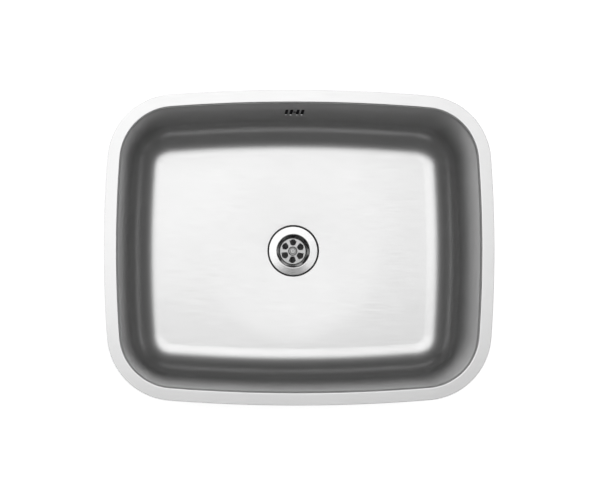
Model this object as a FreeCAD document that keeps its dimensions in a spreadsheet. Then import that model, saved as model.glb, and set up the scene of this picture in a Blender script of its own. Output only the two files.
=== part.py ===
import FreeCAD, Part

import math
import os

import Sketcher
from FreeCAD import Placement, Rotation, Vector

# Undermount kitchen sink: one pressed stainless steel bowl with its waste and overflow.
# Origin: centre of the bowl's mouth on the flange's top face. +X right, +Y back, +Z up.
# All lengths are millimetres and all angles degrees.

SIZES = [
    # Bowl
    ("mouth_length", 494.0, "bowl opening, left to right, on the flange's top face"),
    ("mouth_width", 392.0, "bowl opening, front to back"),
    ("mouth_side_bow", 1690.0, "radius of the bowed left and right sides of the mouth"),
    ("mouth_front_bow", 2220.0, "radius of the bowed front and back sides of the mouth"),
    ("mouth_corner", 73.0, "corner radius of the mouth"),
    ("flange_width", 18.0, "flat rim that the worktop rests on"),
    ("bowl_depth", 180.0, "flange top to the floor beside the walls"),
    ("sheet_gauge", 1.0, "thickness of the bowl's steel sheet"),
    ("wall_draft", 5.25, "lean of the walls from upright"),
    ("floor_radius", 43.0, "round between walls and floor, on the inside"),
    ("mouth_bend", 2.5, "inner bend radius between flange and wall"),
    ("dish_radius", 135.0, "where the floor starts to fall towards the waste"),
    ("floor_fall", 3.0, "fall of the floor to the edge of the waste recess"),
    ("recess_radius", 37.5, "pressed recess for the waste flange, at the floor"),
    ("recess_taper", 1.0, "how much smaller the recess is at its seat"),
    ("recess_depth", 4.0, "depth of the pressed recess"),
    ("waste_hole_radius", 26.0, "hole for the waste in the recess"),
    # Overflow slots in the back wall
    ("overflow_offset", -4.0, "overflow group left of the bowl's centre line"),
    ("overflow_depth", 71.5, "flange top to the middle of the slots"),
    ("slot_width", 4.3, "width of one slot"),
    ("slot_height", 44.0, "height of one slot"),
    ("slot_corner", 1.0, "corner radius of a slot"),
    ("slot_pitch", 6.6, "distance between the two slots of one side"),
    ("slot_land", 4.6, "steel left between the two inner slots"),
    ("overflow_screw_rise", 4.0, "screw above the middle of the slots"),
    ("overflow_screw_radius", 1.45, "shank radius of the overflow screw"),
    ("overflow_screw_head", 2.2, "head radius of the overflow screw"),
    ("overflow_screw_head_height", 1.5, "head height of the overflow screw"),
    ("overflow_screw_length", 12.0, "overflow screw under its head"),
    # Strainer flange of the waste
    ("strainer_radius", 35.0, "outer radius of the strainer flange"),
    ("strainer_drop", 1.1, "rim of the strainer flange below the floor beside it"),
    ("strainer_crown", 1.1, "rim to the flange's top at the plug seat"),
    ("rim_width", 2.4, "turned-down rim of the strainer flange"),
    ("rim_chamfer", 0.6, "chamfer of that rim's upper edge"),
    ("rim_height", 1.4, "height of that rim"),
    ("strainer_gauge", 1.0, "thickness of the strainer's sheet"),
    ("neck_radius", 23.2, "top radius of the plug seat"),
    ("neck_fold", 0.8, "plug seat's upper corner, underside outside upper face"),
    ("grid_radius", 18.9, "radius of the grid at the foot of the plug seat"),
    ("grid_depth", 14.6, "rim to the grid"),
    ("grid_crown", 0.8, "rise of the grid to its middle"),
    ("grid_hole_radius", 4.25, "radius of one drain hole"),
    ("grid_hole_circle", 12.7, "radius of the circle that the drain holes lie on"),
    ("grid_hole_count", 6, "number of drain holes"),
    ("grid_turn", -2.0, "how far the grid is turned about its axis"),
    ("dimple_radius", 6.4, "dimple for the screw's head, at the grid"),
    ("dimple_seat_radius", 5.2, "flat seat of the dimple"),
    ("dimple_depth", 1.6, "depth of the dimple"),
    ("dimple_fold", 0.5, "dimple's upper corner, underside outside upper face"),
    ("dimple_seat_fold", 0.6, "dimple's lower corner, underside outside upper face"),
    # Waste screw and its insert
    ("waste_screw_radius", 3.0, "shank radius of the waste screw"),
    ("waste_screw_length", 26.0, "waste screw under its head"),
    ("waste_screw_head", 4.3, "head radius of the waste screw"),
    ("waste_screw_head_height", 2.4, "head height of the waste screw"),
    ("waste_screw_socket", 1.5, "corner radius of the hexagon socket in its head"),
    ("waste_screw_socket_depth", 1.4, "depth of that socket"),
    ("screw_tip", 0.3, "chamfer of a screw's tip, as a share of its radius"),
    ("screw_head_top", 0.75, "flat top of a screw's head, as a share of its radius"),
    ("screw_head_side", 0.5, "straight side of a screw's head, as a share of its height"),
    ("insert_radius", 5.0, "outer radius of the brass insert"),
    ("insert_length", 12.0, "length of the brass insert"),
    ("screw_clearance", 0.05, "radial clearance of a screw in its thread"),
    ("hole_clearance", 0.3, "radial clearance of a part in a plain hole"),
    # Seals
    ("seal_seat_inset", 1.0, "seal inner edge outside the waste hole"),
    ("body_seal_thickness", 2.0, "seal between the bowl and the waste body"),
    ("overflow_seal_thickness", 2.5, "seal between the back wall and the overflow housing"),
    ("hose_seal_length", 3.2, "length of a hose seal along the hose"),
    # Waste body
    ("body_flange_radius", 35.5, "flange of the waste body under the bowl"),
    ("body_flange_thickness", 4.0, "thickness of that flange"),
    ("body_bore", 25.5, "inner radius of the chamber under the grid"),
    ("body_wall", 3.0, "wall of the chamber"),
    ("chamber_depth", 34.0, "flange top to the chamber's foot"),
    ("funnel_height", 8.0, "height of the funnel between chamber and outlet"),
    ("outlet_radius", 23.9, "outlet thread, outer radius, for a 1 1/2 inch pipe thread"),
    ("outlet_bore", 20.0, "bore radius of the outlet"),
    ("outlet_length", 22.0, "length of the threaded outlet"),
    ("boss_wall", 2.4, "plastic round the brass insert"),
    ("boss_drop", 13.0, "body flange top down to the top of the screw boss"),
    ("boss_length", 18.0, "length of the screw boss"),
    ("web_width", 2.6, "thickness of the webs that carry the boss"),
    ("web_count", 3, "number of those webs"),
    ("inlet_drop", 22.0, "body flange top down to the axis of the overflow inlet"),
    ("inlet_reach", 50.0, "waste axis to the face of the overflow inlet"),
    # Hose joints: spigot, seal and union nut, the same at both ends
    ("spigot_radius", 13.5, "thread radius of a hose spigot"),
    ("socket_depth", 10.0, "length of the hose cuff inside a spigot"),
    ("nut_wall", 2.9, "wall of a union nut around the spigot's thread"),
    ("nut_back", 2.4, "back wall of a union nut"),
    ("nut_grip", 9.0, "length of thread inside a union nut"),
    ("nut_flute", 1.6, "radius of a grip flute of a union nut"),
    ("nut_flute_count", 12, "number of grip flutes"),
    # Overflow housing behind the back wall
    ("housing_width", 44.0, "overflow housing, left to right"),
    ("housing_height", 54.0, "overflow housing along the wall"),
    ("housing_depth", 20.0, "overflow housing away from its seal"),
    ("housing_corner", 12.0, "corner radius of the overflow housing"),
    ("housing_wall", 2.6, "wall of the overflow housing"),
    ("housing_edge", 4.0, "round of the housing's outer back edge"),
    ("post_radius", 3.4, "radius of the housing's screw post"),
    ("spigot_standoff", 17.5, "back wall to the axis of the housing's spigot"),
    ("spigot_drop", 45.0, "middle of the slots down to the face of the housing's spigot"),
    # Ribbed overflow hose
    ("hose_crest", 10.0, "outer radius of the hose at its cuffs and rib crests"),
    ("hose_valley", 8.6, "outer radius of the hose between its ribs"),
    ("hose_bore", 7.6, "bore radius of the hose"),
    ("hose_cuff", 18.0, "plain cuff at each end of the hose"),
    ("hose_bend", 60.0, "radius of the hose's bend"),
    ("hose_rib_count", 30, "number of ribs"),
    ("rib_valley_start", 0.12, "where a valley starts, as a share of the ribs' pitch"),
    ("rib_valley_end", 0.42, "where that valley ends"),
    ("rib_crest_start", 0.55, "where the crest after it starts"),
    ("rib_crest_end", 0.95, "where that crest ends"),
    # Sound-deadening pads under the floor
    ("pad_thickness", 2.5, "thickness of a sound pad"),
    ("pad_length", 190.0, "sound pad, front to back"),
    ("pad_width", 110.0, "sound pad, left to right"),
    ("pad_inner_edge", 62.0, "bowl's centre line to the inner edge of a sound pad"),
    ("pad_corner", 15.0, "corner radius of a sound pad"),
]


class Size:
    """A number together with the spreadsheet formula that it comes from."""

    def __init__(self, number, formula=None):
        self.number = float(number)
        self.formula = formula or "(" + repr(float(number)) + ")"

    def joined(self, sign, other, number):
        return Size(number, "(" + self.formula + " " + sign + " " + other.formula + ")")

    def __add__(self, other):
        other = sized(other)
        return self.joined("+", other, self.number + other.number)

    def __sub__(self, other):
        other = sized(other)
        return self.joined("-", other, self.number - other.number)

    def __mul__(self, other):
        other = sized(other)
        return self.joined("*", other, self.number * other.number)

    def __truediv__(self, other):
        other = sized(other)
        return self.joined("/", other, self.number / other.number)

    def __radd__(self, other):
        return sized(other) + self

    def __rsub__(self, other):
        return sized(other) - self

    def __rmul__(self, other):
        return sized(other) * self

    def __neg__(self):
        return sized(0) - self


def sized(value):
    return value if isinstance(value, Size) else Size(value)


def root(size):
    return Size(math.sqrt(size.number), "sqrt(" + size.formula + ")")


def tan(angle):
    return Size(math.tan(math.radians(angle.number)), "tan(" + angle.formula + ")")


def sin(angle):
    return Size(math.sin(math.radians(angle.number)), "sin(" + angle.formula + ")")


def cos(angle):
    return Size(math.cos(math.radians(angle.number)), "cos(" + angle.formula + ")")


doc = FreeCAD.newDocument("undermount_sink")
sheet = doc.addObject("Spreadsheet::Sheet", "Sizes")
for row, (alias, number, meaning) in enumerate(SIZES, start=1):
    sheet.set("A" + str(row), alias)
    sheet.set("B" + str(row), str(number))
    sheet.set("C" + str(row), meaning)
    sheet.setAlias("B" + str(row), alias)
doc.recompute()


def of(alias):
    """The spreadsheet cell with this alias, as a Size."""
    return Size(sheet.get(alias), "Sizes." + alias)


# ---------------------------------------------------------------- tools for bodies and sketches

def new_body(label):
    body = doc.addObject("PartDesign::Body", label)
    body.Label = label
    return body


def new_sketch(body, name, plane="XY_Plane", height=None):
    """A sketch on one of the body's own origin planes, or lifted from it by height."""
    support = [feature for feature in body.Origin.OriginFeatures if feature.Role == plane][0]
    sketch = body.newObject("Sketcher::SketchObject", body.Name + "_" + name)
    sketch.AttachmentSupport = [(support, "")]
    sketch.MapMode = "FlatFace"
    if height is not None:
        sketch.setExpression("AttachmentOffset.Base.z", height.formula)
    return sketch


def hold(sketch, kind, *args):
    """Adds a dimension whose value is the Size given last."""
    size = args[-1]
    index = sketch.addConstraint(Sketcher.Constraint(kind, *args[:-1], size.number))
    sketch.setExpression("Constraints[" + str(index) + "]", size.formula)


def place_point(sketch, geometry, point, across, along):
    """Dimensions a point from the sketch's origin, or puts it on an axis where it is zero."""
    if abs(across.number) < 1e-9:
        sketch.addConstraint(Sketcher.Constraint("PointOnObject", geometry, point, -2))
    else:
        hold(sketch, "DistanceX", -1, 1, geometry, point, across)
    if abs(along.number) < 1e-9:
        sketch.addConstraint(Sketcher.Constraint("PointOnObject", geometry, point, -1))
    else:
        hold(sketch, "DistanceY", -1, 1, geometry, point, along)


def flat(across, along):
    return Vector(across.number, along.number, 0)


def draw_circle(sketch, across, along, radius):
    across, along = sized(across), sized(along)
    circle = Part.Circle(flat(across, along), Vector(0, 0, 1), radius.number)
    index = sketch.addGeometry(circle, False)
    hold(sketch, "Radius", index, radius)
    place_point(sketch, index, 3, across, along)


def draw_profile(sketch, corners, arcs=None):
    """A closed outline through the corners; arcs gives the radius of the side that leaves a
    corner, positive where its centre lies to the left of that side."""
    arcs = arcs or {}
    corners = [(sized(across), sized(along)) for across, along in corners]
    count = len(corners)
    first = sketch.GeometryCount
    ends = []
    for index in range(count):
        start = flat(*corners[index])
        end = flat(*corners[(index + 1) % count])
        if index in arcs:
            radius = arcs[index].number
            chord = end - start
            half = chord.Length / 2
            left = Vector(-chord.y, chord.x, 0).normalize()
            side = math.copysign(1.0, radius)
            centre = (start + end) / 2 + left * side * math.sqrt(radius * radius - half * half)
            middle = centre + ((start + end) / 2 - centre).normalize() * abs(radius)
            sketch.addGeometry(Part.Arc(start, middle, end), False)
            ends.append((1, 2) if side > 0 else (2, 1))
        else:
            sketch.addGeometry(Part.LineSegment(start, end), False)
            ends.append((1, 2))
    for index in range(count):
        following = (index + 1) % count
        sketch.addConstraint(Sketcher.Constraint(
            "Coincident", first + index, ends[index][1], first + following, ends[following][0]))
        place_point(sketch, first + index, ends[index][0], *corners[index])
        if index in arcs:
            size = arcs[index] if arcs[index].number > 0 else -arcs[index]
            hold(sketch, "Radius", first + index, size)


def draw_rounded_rectangle(sketch, across, along, length, width, corner):
    """A rectangle with round corners; across and along give its middle."""
    across, along = sized(across), sized(along)
    right, top = across + length / 2, along + width / 2
    left, bottom = across - length / 2, along - width / 2
    corners = [
        (left + corner, bottom), (right - corner, bottom),
        (right, bottom + corner), (right, top - corner),
        (right - corner, top), (left + corner, top),
        (left, top - corner), (left, bottom + corner),
    ]
    draw_profile(sketch, corners, {1: corner, 3: corner, 5: corner, 7: corner})


class Bowed:
    """A rounded rectangle whose four sides bow outwards, as the mouth of a pressed bowl."""

    def __init__(self, half_length, half_width, side_bow, front_bow, corner):
        self.half_length = half_length
        self.half_width = half_width
        self.side_bow = side_bow
        self.front_bow = front_bow
        self.corner = corner

    def grown(self, step):
        """The same outline moved outwards by step all round."""
        return Bowed(self.half_length + step, self.half_width + step,
                     self.side_bow + step, self.front_bow + step, self.corner + step)

    def corner_centre(self):
        """Centre of the corner arc that touches both bowed sides, and its two end angles."""
        side, front, corner = self.side_bow.number, self.front_bow.number, self.corner.number
        side_x, front_y = self.half_length.number - side, self.half_width.number - front
        span = math.hypot(side_x, front_y)
        reach_side, reach_front = side - corner, front - corner
        along = (reach_side ** 2 - reach_front ** 2 + span ** 2) / (2 * span)
        off = math.sqrt(reach_side ** 2 - along ** 2)
        unit = Vector(-side_x, front_y, 0) / span
        centre = Vector(side_x, 0, 0) + unit * along + Vector(-unit.y, unit.x, 0) * off
        start = math.atan2(centre.y, centre.x - side_x)
        end = math.atan2(centre.y - front_y, centre.x)
        return centre, start, end

    def draw(self, sketch):
        side, front, corner = self.side_bow.number, self.front_bow.number, self.corner.number
        centre, start, end = self.corner_centre()
        side_x, front_y = self.half_length.number - side, self.half_width.number - front
        pi = math.pi
        pieces = [
            (side_x, 0, side, -start, start),
            (centre.x, centre.y, corner, start, end),
            (0, front_y, front, end, pi - end),
            (-centre.x, centre.y, corner, pi - end, pi - start),
            (-side_x, 0, side, pi - start, pi + start),
            (-centre.x, -centre.y, corner, pi + start, pi + end),
            (0, -front_y, front, pi + end, 2 * pi - end),
            (centre.x, -centre.y, corner, 2 * pi - end, 2 * pi - start),
        ]
        for x, y, radius, first, last in pieces:
            circle = Part.Circle(Vector(x, y, 0), Vector(0, 0, 1), radius)
            sketch.addGeometry(Part.ArcOfCircle(circle, first, last), False)
        for index in range(8):
            sketch.addConstraint(Sketcher.Constraint(
                "Tangent", index, 2, (index + 1) % 8, 1))
        for index, axis in ((0, -1), (4, -1), (2, -2), (6, -2)):
            sketch.addConstraint(Sketcher.Constraint("PointOnObject", index, 3, axis))
        for first, second in ((0, 4), (2, 6), (1, 3), (1, 5), (1, 7)):
            sketch.addConstraint(Sketcher.Constraint("Equal", first, second))
        hold(sketch, "Radius", 0, self.side_bow)
        hold(sketch, "Radius", 2, self.front_bow)
        hold(sketch, "Radius", 1, self.corner)
        hold(sketch, "DistanceX", -1, 1, 0, 3, self.half_length - self.side_bow)
        hold(sketch, "DistanceX", -1, 1, 4, 3, self.side_bow - self.half_length)
        hold(sketch, "DistanceY", -1, 1, 2, 3, self.half_width - self.front_bow)
        hold(sketch, "DistanceY", -1, 1, 6, 3, self.front_bow - self.half_width)


def pad(body, sketch, name, length, reverse=False):
    feature = body.newObject("PartDesign::Pad", body.Name + "_" + name)
    feature.Profile = sketch
    feature.Reversed = reverse
    feature.setExpression("Length", length.formula)
    return finished(feature)


def pocket(body, sketch, name, length=None, reverse=False):
    """Cuts the sketch to a depth, or through everything where no length is given."""
    before = body.Shape.Volume
    feature = body.newObject("PartDesign::Pocket", body.Name + "_" + name)
    feature.Profile = sketch
    feature.Reversed = reverse
    if length is None:
        feature.Type = "ThroughAll"
    else:
        feature.setExpression("Length", length.formula)
    finished(feature)
    if body.Shape.Volume >= before:
        raise RuntimeError(feature.Name + " cuts nothing")
    return feature


def turn(body, kind, sketch, name, axis="V_Axis"):
    """Revolves the sketch a full turn about its own upright axis."""
    feature = body.newObject("PartDesign::" + kind, body.Name + "_" + name)
    feature.Profile = sketch
    feature.ReferenceAxis = (sketch, [axis])
    feature.Angle = 360
    return finished(feature)


def dress(body, kind, name, edges, size):
    """Fillets or chamfers the body's edges for which edges() is true."""
    base = body.Tip
    chosen = [
        "Edge" + str(number)
        for number, edge in enumerate(base.Shape.Edges, start=1)
        if edges(edge)
    ]
    if not chosen:
        raise RuntimeError(body.Name + "_" + name + " finds no edge")
    feature = body.newObject("PartDesign::" + kind, body.Name + "_" + name)
    feature.Base = (base, chosen)
    feature.setExpression("Radius" if kind == "Fillet" else "Size", size.formula)
    return finished(feature)


def around(body, feature, name, count):
    """Repeats a feature about the body's Z axis."""
    axis = [part for part in body.Origin.OriginFeatures if part.Role == "Z_Axis"][0]
    pattern = body.newObject("PartDesign::PolarPattern", body.Name + "_" + name)
    pattern.Originals = [feature]
    pattern.Axis = (axis, [""])
    pattern.Angle = 360
    pattern.setExpression("Occurrences", count.formula)
    body.Tip = pattern
    return finished(pattern)


def finished(feature):
    doc.recompute()
    if "Invalid" in feature.State or "Error" in feature.State or feature.Shape.isNull():
        raise RuntimeError(feature.Name + " failed: " + feature.getStatusString())
    return feature


def level(edge, height):
    """True for an edge that lies flat at this height."""
    return all(abs(vertex.Point.z - height.number) < 1e-4 for vertex in edge.Vertexes)


def ring_edge(edge, radius, height):
    """True for a full circle of this radius about the Z axis at this height."""
    curve = edge.Curve
    if not isinstance(curve, Part.Circle) or not level(edge, height):
        return False
    on_axis = math.hypot(curve.Center.x, curve.Center.y) < 1e-4
    return on_axis and abs(curve.Radius - radius.number) < 1e-3


# ---------------------------------------------------------------- levels shared by the pieces

gauge = of("sheet_gauge")
depth = of("bowl_depth")
floor_level = -depth
recess_edge_level = floor_level - of("floor_fall")
recess_seat_level = recess_edge_level - of("recess_depth")
recess_seat_radius = of("recess_radius") - of("recess_taper")
rim_level = recess_edge_level - of("strainer_drop")
grid_level = rim_level - of("grid_depth")
crown_level = grid_level + of("grid_crown")
dimple_level = crown_level - of("dimple_depth")
body_top_level = recess_seat_level - gauge - of("body_seal_thickness")
inlet_level = body_top_level - of("inlet_drop")

# The floor falls to the recess as a shallow cone.
floor_slope = of("floor_fall") / (of("dish_radius") - of("recess_radius"))

OVERCUT = Size(10.0)  # how far cutters and joined pieces run into open space or solid steel


def dish_level(radius, below):
    """Height of the dished floor at a radius, on a surface this far below the top one."""
    return floor_level - below - (of("dish_radius") - radius) * floor_slope


# ---------------------------------------------------------------- bowl

mouth = Bowed(of("mouth_length") / 2, of("mouth_width") / 2,
              of("mouth_side_bow"), of("mouth_front_bow"), of("mouth_corner"))
wall_slope = tan(of("wall_draft"))


def wall_outline(drop, step):
    """The walls' outline drop below the flange top, moved outwards by step. All outlines
    share their arcs' centres, so each wall and corner is a piece of a cone."""
    return mouth.grown(step - drop * wall_slope)


def lifted_outline(name, outline, height):
    """A sketch of the outline, level, at a height below the flange top."""
    sketch = doc.addObject("Sketcher::SketchObject", name)
    sketch.setExpression("Placement.Base.z", height.formula)
    outline.draw(sketch)
    return sketch


def make_tub(name, top, bottom, height, radius):
    """A solid tub lofted from its floor outline to its mouth, with the floor's edge rounded."""
    walls = doc.addObject("Part::Loft", name + "_walls")
    walls.Sections = [
        lifted_outline(name + "_floor", bottom, height),
        lifted_outline(name + "_mouth", top, Size(0)),
    ]
    walls.Solid = True
    walls.Ruled = True
    finished(walls)
    tub = doc.addObject("Part::Fillet", name)
    tub.Base = walls
    tub.Edges = [
        (number, radius.number, radius.number)
        for number, edge in enumerate(walls.Shape.Edges, start=1)
        if level(edge, height)
    ]
    return finished(tub)


def make_shell():
    """The bowl as pressed, before its floor is dished: a flanged tub less its hollow."""
    outer_drop = depth + gauge
    tub = make_tub("outer_tub", mouth.grown(gauge), wall_outline(outer_drop, gauge),
                   -outer_drop, of("floor_radius") + gauge)
    hollow = make_tub("inner_tub", mouth, wall_outline(depth, Size(0)),
                      floor_level, of("floor_radius"))
    flange = doc.addObject("Part::Extrusion", "flange_plate")
    flange.Base = lifted_outline("flange_outline", mouth.grown(of("flange_width")), Size(0))
    flange.Dir = Vector(0, 0, -1)
    flange.Solid = True
    flange.setExpression("LengthFwd", gauge.formula)
    finished(flange)
    flanged = doc.addObject("Part::Fuse", "flanged_tub")
    flanged.Base = tub
    flanged.Tool = flange
    shell = doc.addObject("Part::Cut", "pressed_shell")
    shell.Base = flanged
    shell.Tool = hollow
    return finished(shell)


def within(edge, half_length, half_width):
    """True for an edge inside a rectangle about the Z axis."""
    box = edge.BoundBox
    return (max(abs(box.XMin), abs(box.XMax)) < half_length.number
            and max(abs(box.YMin), abs(box.YMax)) < half_width.number)


def make_bowl():
    shell = make_shell()
    body = new_body("bowl")
    body.BaseFeature = shell
    doc.recompute()

    # The dish of the floor and the recess of the waste, seen as a half section.
    added = new_sketch(body, "dish_section", "XZ_Plane")
    edge_radius = of("recess_radius") + gauge
    in_sheet = floor_level - gauge / 2
    draw_profile(added, [
        (0, in_sheet),
        (0, recess_seat_level - gauge),
        (recess_seat_radius + gauge, recess_seat_level - gauge),
        (edge_radius, dish_level(edge_radius, gauge)),
        (of("dish_radius"), floor_level - gauge),
        (of("dish_radius"), in_sheet),
    ])
    turn(body, "Revolution", added, "dish")
    removed = new_sketch(body, "waste_section", "XZ_Plane")
    draw_profile(removed, [
        (0, floor_level + OVERCUT),
        (0, recess_seat_level - OVERCUT),
        (of("waste_hole_radius"), recess_seat_level - OVERCUT),
        (of("waste_hole_radius"), recess_seat_level),
        (recess_seat_radius, recess_seat_level),
        (of("recess_radius"), recess_edge_level),
        (of("dish_radius"), floor_level),
        (of("dish_radius"), floor_level + OVERCUT),
    ])
    turn(body, "Groove", removed, "waste_recess")

    half_length = mouth.half_length + of("flange_width") / 2
    half_width = mouth.half_width + of("flange_width") / 2
    dress(body, "Fillet", "mouth_bend_under",
          lambda edge: level(edge, -gauge) and within(edge, half_length, half_width),
          of("mouth_bend"))
    dress(body, "Fillet", "mouth_bend_top",
          lambda edge: level(edge, Size(0)) and within(edge, half_length, half_width),
          of("mouth_bend") + gauge)

    # Overflow slots and the hole of the overflow screw, cut through the back wall.
    slots = new_sketch(body, "slots_section", "XZ_Plane")
    inner = (of("slot_land") + of("slot_width")) / 2
    for side in (-1, 1):
        for centre in (inner, inner + of("slot_pitch")):
            draw_rounded_rectangle(slots, of("overflow_offset") + centre * side,
                                   -of("overflow_depth"), of("slot_width"),
                                   of("slot_height"), of("slot_corner"))
    pocket(body, slots, "slots")
    screw = new_sketch(body, "screw_section", "XZ_Plane")
    draw_circle(screw, of("overflow_offset"), of("overflow_screw_rise") - of("overflow_depth"),
                of("overflow_screw_radius") + of("hole_clearance"))
    pocket(body, screw, "screw_hole")
    return body


# ---------------------------------------------------------------- frames of the overflow and its hose

# A frame on the outside of the back wall: Y out of the wall, Z up along it.
wall_y = mouth.half_width + gauge - of("overflow_depth") * wall_slope
wall_tilt = of("wall_draft")
wall_frame = Placement(
    Vector(of("overflow_offset").number, wall_y.number, -of("overflow_depth").number),
    Rotation(Vector(1, 0, 0), -wall_tilt.number))

# The hose lies in the upright plane through the waste's axis and the housing's spigot.
spigot_face_y = (wall_y + of("spigot_standoff") * cos(wall_tilt)
                 - of("spigot_drop") * sin(wall_tilt))
spigot_face_z = -(of("overflow_depth") + of("spigot_standoff") * sin(wall_tilt)
                  + of("spigot_drop") * cos(wall_tilt))
hose_heading = -math.degrees(math.atan2(of("overflow_offset").number, spigot_face_y.number))
to_hose_plane = Rotation(Vector(0, 0, 1), hose_heading)


# ---------------------------------------------------------------- waste

strainer_gauge = of("strainer_gauge")
rim_foot = rim_level - of("rim_height")
rim_inner = of("strainer_radius") - of("rim_width")
neck_level = rim_level + of("strainer_crown")
crown_slope = of("strainer_crown") / (of("strainer_radius") - of("neck_radius"))
seal_inner = of("waste_hole_radius") + of("seal_seat_inset")


def crown_underside(radius):
    """Underside of the crowned strainer flange at a radius."""
    return rim_level + (of("strainer_radius") - radius) * crown_slope - strainer_gauge


def make_strainer():
    body = new_body("waste_strainer")
    body.Placement.Rotation = Rotation(Vector(0, 0, 1), of("grid_turn").number)
    section = new_sketch(body, "section", "XZ_Plane")
    bore = of("waste_screw_radius") + of("hole_clearance")
    neck_outer = of("neck_radius") + of("neck_fold")
    draw_profile(section, [
        (bore, dimple_level - strainer_gauge),
        (of("dimple_seat_radius") + of("dimple_seat_fold"), dimple_level - strainer_gauge),
        (of("dimple_radius") + of("dimple_fold"), crown_level - strainer_gauge),
        (of("grid_radius") + strainer_gauge, grid_level - strainer_gauge),
        (neck_outer, crown_underside(neck_outer)),
        (rim_inner, crown_underside(rim_inner)),
        (rim_inner, rim_foot),
        (of("strainer_radius"), rim_foot),
        (of("strainer_radius"), rim_level),
        (of("neck_radius"), neck_level),
        (of("grid_radius"), grid_level),
        (of("dimple_radius"), crown_level),
        (of("dimple_seat_radius"), dimple_level),
        (bore, dimple_level),
    ])
    turn(body, "Revolution", section, "turned")
    dress(body, "Chamfer", "rim_edge",
          lambda edge: ring_edge(edge, of("strainer_radius"), rim_level), of("rim_chamfer"))
    dress(body, "Fillet", "plug_seat_round",
          lambda edge: ring_edge(edge, of("neck_radius"), neck_level), strainer_gauge)
    hole = new_sketch(body, "hole_section")
    draw_circle(hole, 0, of("grid_hole_circle"), of("grid_hole_radius"))
    drain = pocket(body, hole, "drain_hole")
    around(body, drain, "drain_holes", of("grid_hole_count"))
    return body


def make_ring(label, corners):
    """A seal or insert turned about the waste's axis."""
    body = new_body(label)
    section = new_sketch(body, "section", "XZ_Plane")
    draw_profile(section, corners)
    turn(body, "Revolution", section, "turned")
    return body


def make_screw(label, head_radius, head_height, shank_radius, seat, length):
    """A screw with a round head that rests at the level of its seat; it points down."""
    body = new_body(label)
    section = new_sketch(body, "section", "XZ_Plane")
    tip = shank_radius * of("screw_tip")
    draw_profile(section, [
        (0, seat - length),
        (shank_radius - tip, seat - length),
        (shank_radius, seat - length + tip),
        (shank_radius, seat),
        (head_radius, seat),
        (head_radius, seat + head_height * of("screw_head_side")),
        (head_radius * of("screw_head_top"), seat + head_height),
        (0, seat + head_height),
    ])
    turn(body, "Revolution", section, "turned")
    return body


def make_waste_screw():
    head_height = of("waste_screw_head_height")
    body = make_screw("waste_screw", of("waste_screw_head"), head_height,
                      of("waste_screw_radius"), dimple_level, of("waste_screw_length"))
    socket = new_sketch(body, "socket_section", height=dimple_level + head_height)
    corner = of("waste_screw_socket")
    half, flat_distance = corner / 2, corner * root(Size(3)) / 2
    draw_profile(socket, [
        (corner, 0), (half, flat_distance), (-half, flat_distance),
        (-corner, 0), (-half, -flat_distance), (half, -flat_distance),
    ])
    pocket(body, socket, "socket", of("waste_screw_socket_depth"))
    return body


def make_waste_body():
    body = new_body("waste_body")
    top = body_top_level
    flange_foot = top - of("body_flange_thickness")
    chamber_foot = top - of("chamber_depth")
    outlet_top = chamber_foot - of("funnel_height")
    outlet_foot = outlet_top - of("outlet_length")
    chamber_outer = of("body_bore") + of("body_wall")
    outside = new_sketch(body, "outside_section", "XZ_Plane")
    draw_profile(outside, [
        (0, outlet_foot),
        (of("outlet_radius"), outlet_foot),
        (of("outlet_radius"), outlet_top),
        (chamber_outer, chamber_foot),
        (chamber_outer, flange_foot),
        (of("body_flange_radius"), flange_foot),
        (of("body_flange_radius"), top),
        (0, top),
    ])
    turn(body, "Revolution", outside, "outside")
    inlet = new_sketch(body, "inlet_section", "XZ_Plane")
    draw_circle(inlet, 0, inlet_level, of("spigot_radius"))
    pad(body, inlet, "inlet", of("inlet_reach"), reverse=True)
    inside = new_sketch(body, "inside_section", "XZ_Plane")
    draw_profile(inside, [
        (0, outlet_foot - OVERCUT),
        (of("outlet_bore"), outlet_foot - OVERCUT),
        (of("outlet_bore"), outlet_top),
        (of("body_bore"), chamber_foot),
        (of("body_bore"), top + OVERCUT),
        (0, top + OVERCUT),
    ])
    turn(body, "Groove", inside, "inside")

    # The boss that holds the brass insert, carried by webs across the chamber.
    boss_top = top - of("boss_drop")
    boss_foot = boss_top - of("boss_length")
    boss_radius = of("insert_radius") + of("boss_wall")
    web = new_sketch(body, "web_section", height=boss_foot)
    half = of("web_width") / 2
    draw_profile(web, [
        (-half, -(of("body_bore") + of("body_wall") / 2)),
        (half, -(of("body_bore") + of("body_wall") / 2)),
        (half, -(boss_radius - of("boss_wall") / 2)),
        (-half, -(boss_radius - of("boss_wall") / 2)),
    ])
    first_web = pad(body, web, "web", of("boss_length"))
    around(body, first_web, "webs", of("web_count"))
    boss = new_sketch(body, "boss_section", height=boss_foot)
    draw_circle(boss, 0, 0, boss_radius)
    pad(body, boss, "boss", of("boss_length"))
    seat = new_sketch(body, "insert_section", height=boss_top)
    draw_circle(seat, 0, 0, of("insert_radius") + of("screw_clearance"))
    pocket(body, seat, "insert_seat", of("insert_length"))
    bore = new_sketch(body, "screw_section", height=boss_top)
    draw_circle(bore, 0, 0, of("waste_screw_radius") + of("hole_clearance"))
    pocket(body, bore, "screw_hole", of("boss_length"))

    # The bore of the overflow inlet, cut from its face back into the chamber.
    bore = new_sketch(body, "inlet_bore_section", "XZ_Plane", height=-of("inlet_reach"))
    draw_circle(bore, 0, inlet_level, of("hose_bore"))
    pocket(body, bore, "inlet_bore",
           of("inlet_reach") - of("body_bore") + of("body_wall"), reverse=True)
    socket = new_sketch(body, "inlet_socket_section", "XZ_Plane", height=-of("inlet_reach"))
    draw_circle(socket, 0, inlet_level, of("hose_crest") + of("hole_clearance"))
    pocket(body, socket, "inlet_socket", of("socket_depth") + of("hole_clearance"),
           reverse=True)
    body.Placement = Placement(Vector(0, 0, 0), to_hose_plane)
    return body


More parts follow.
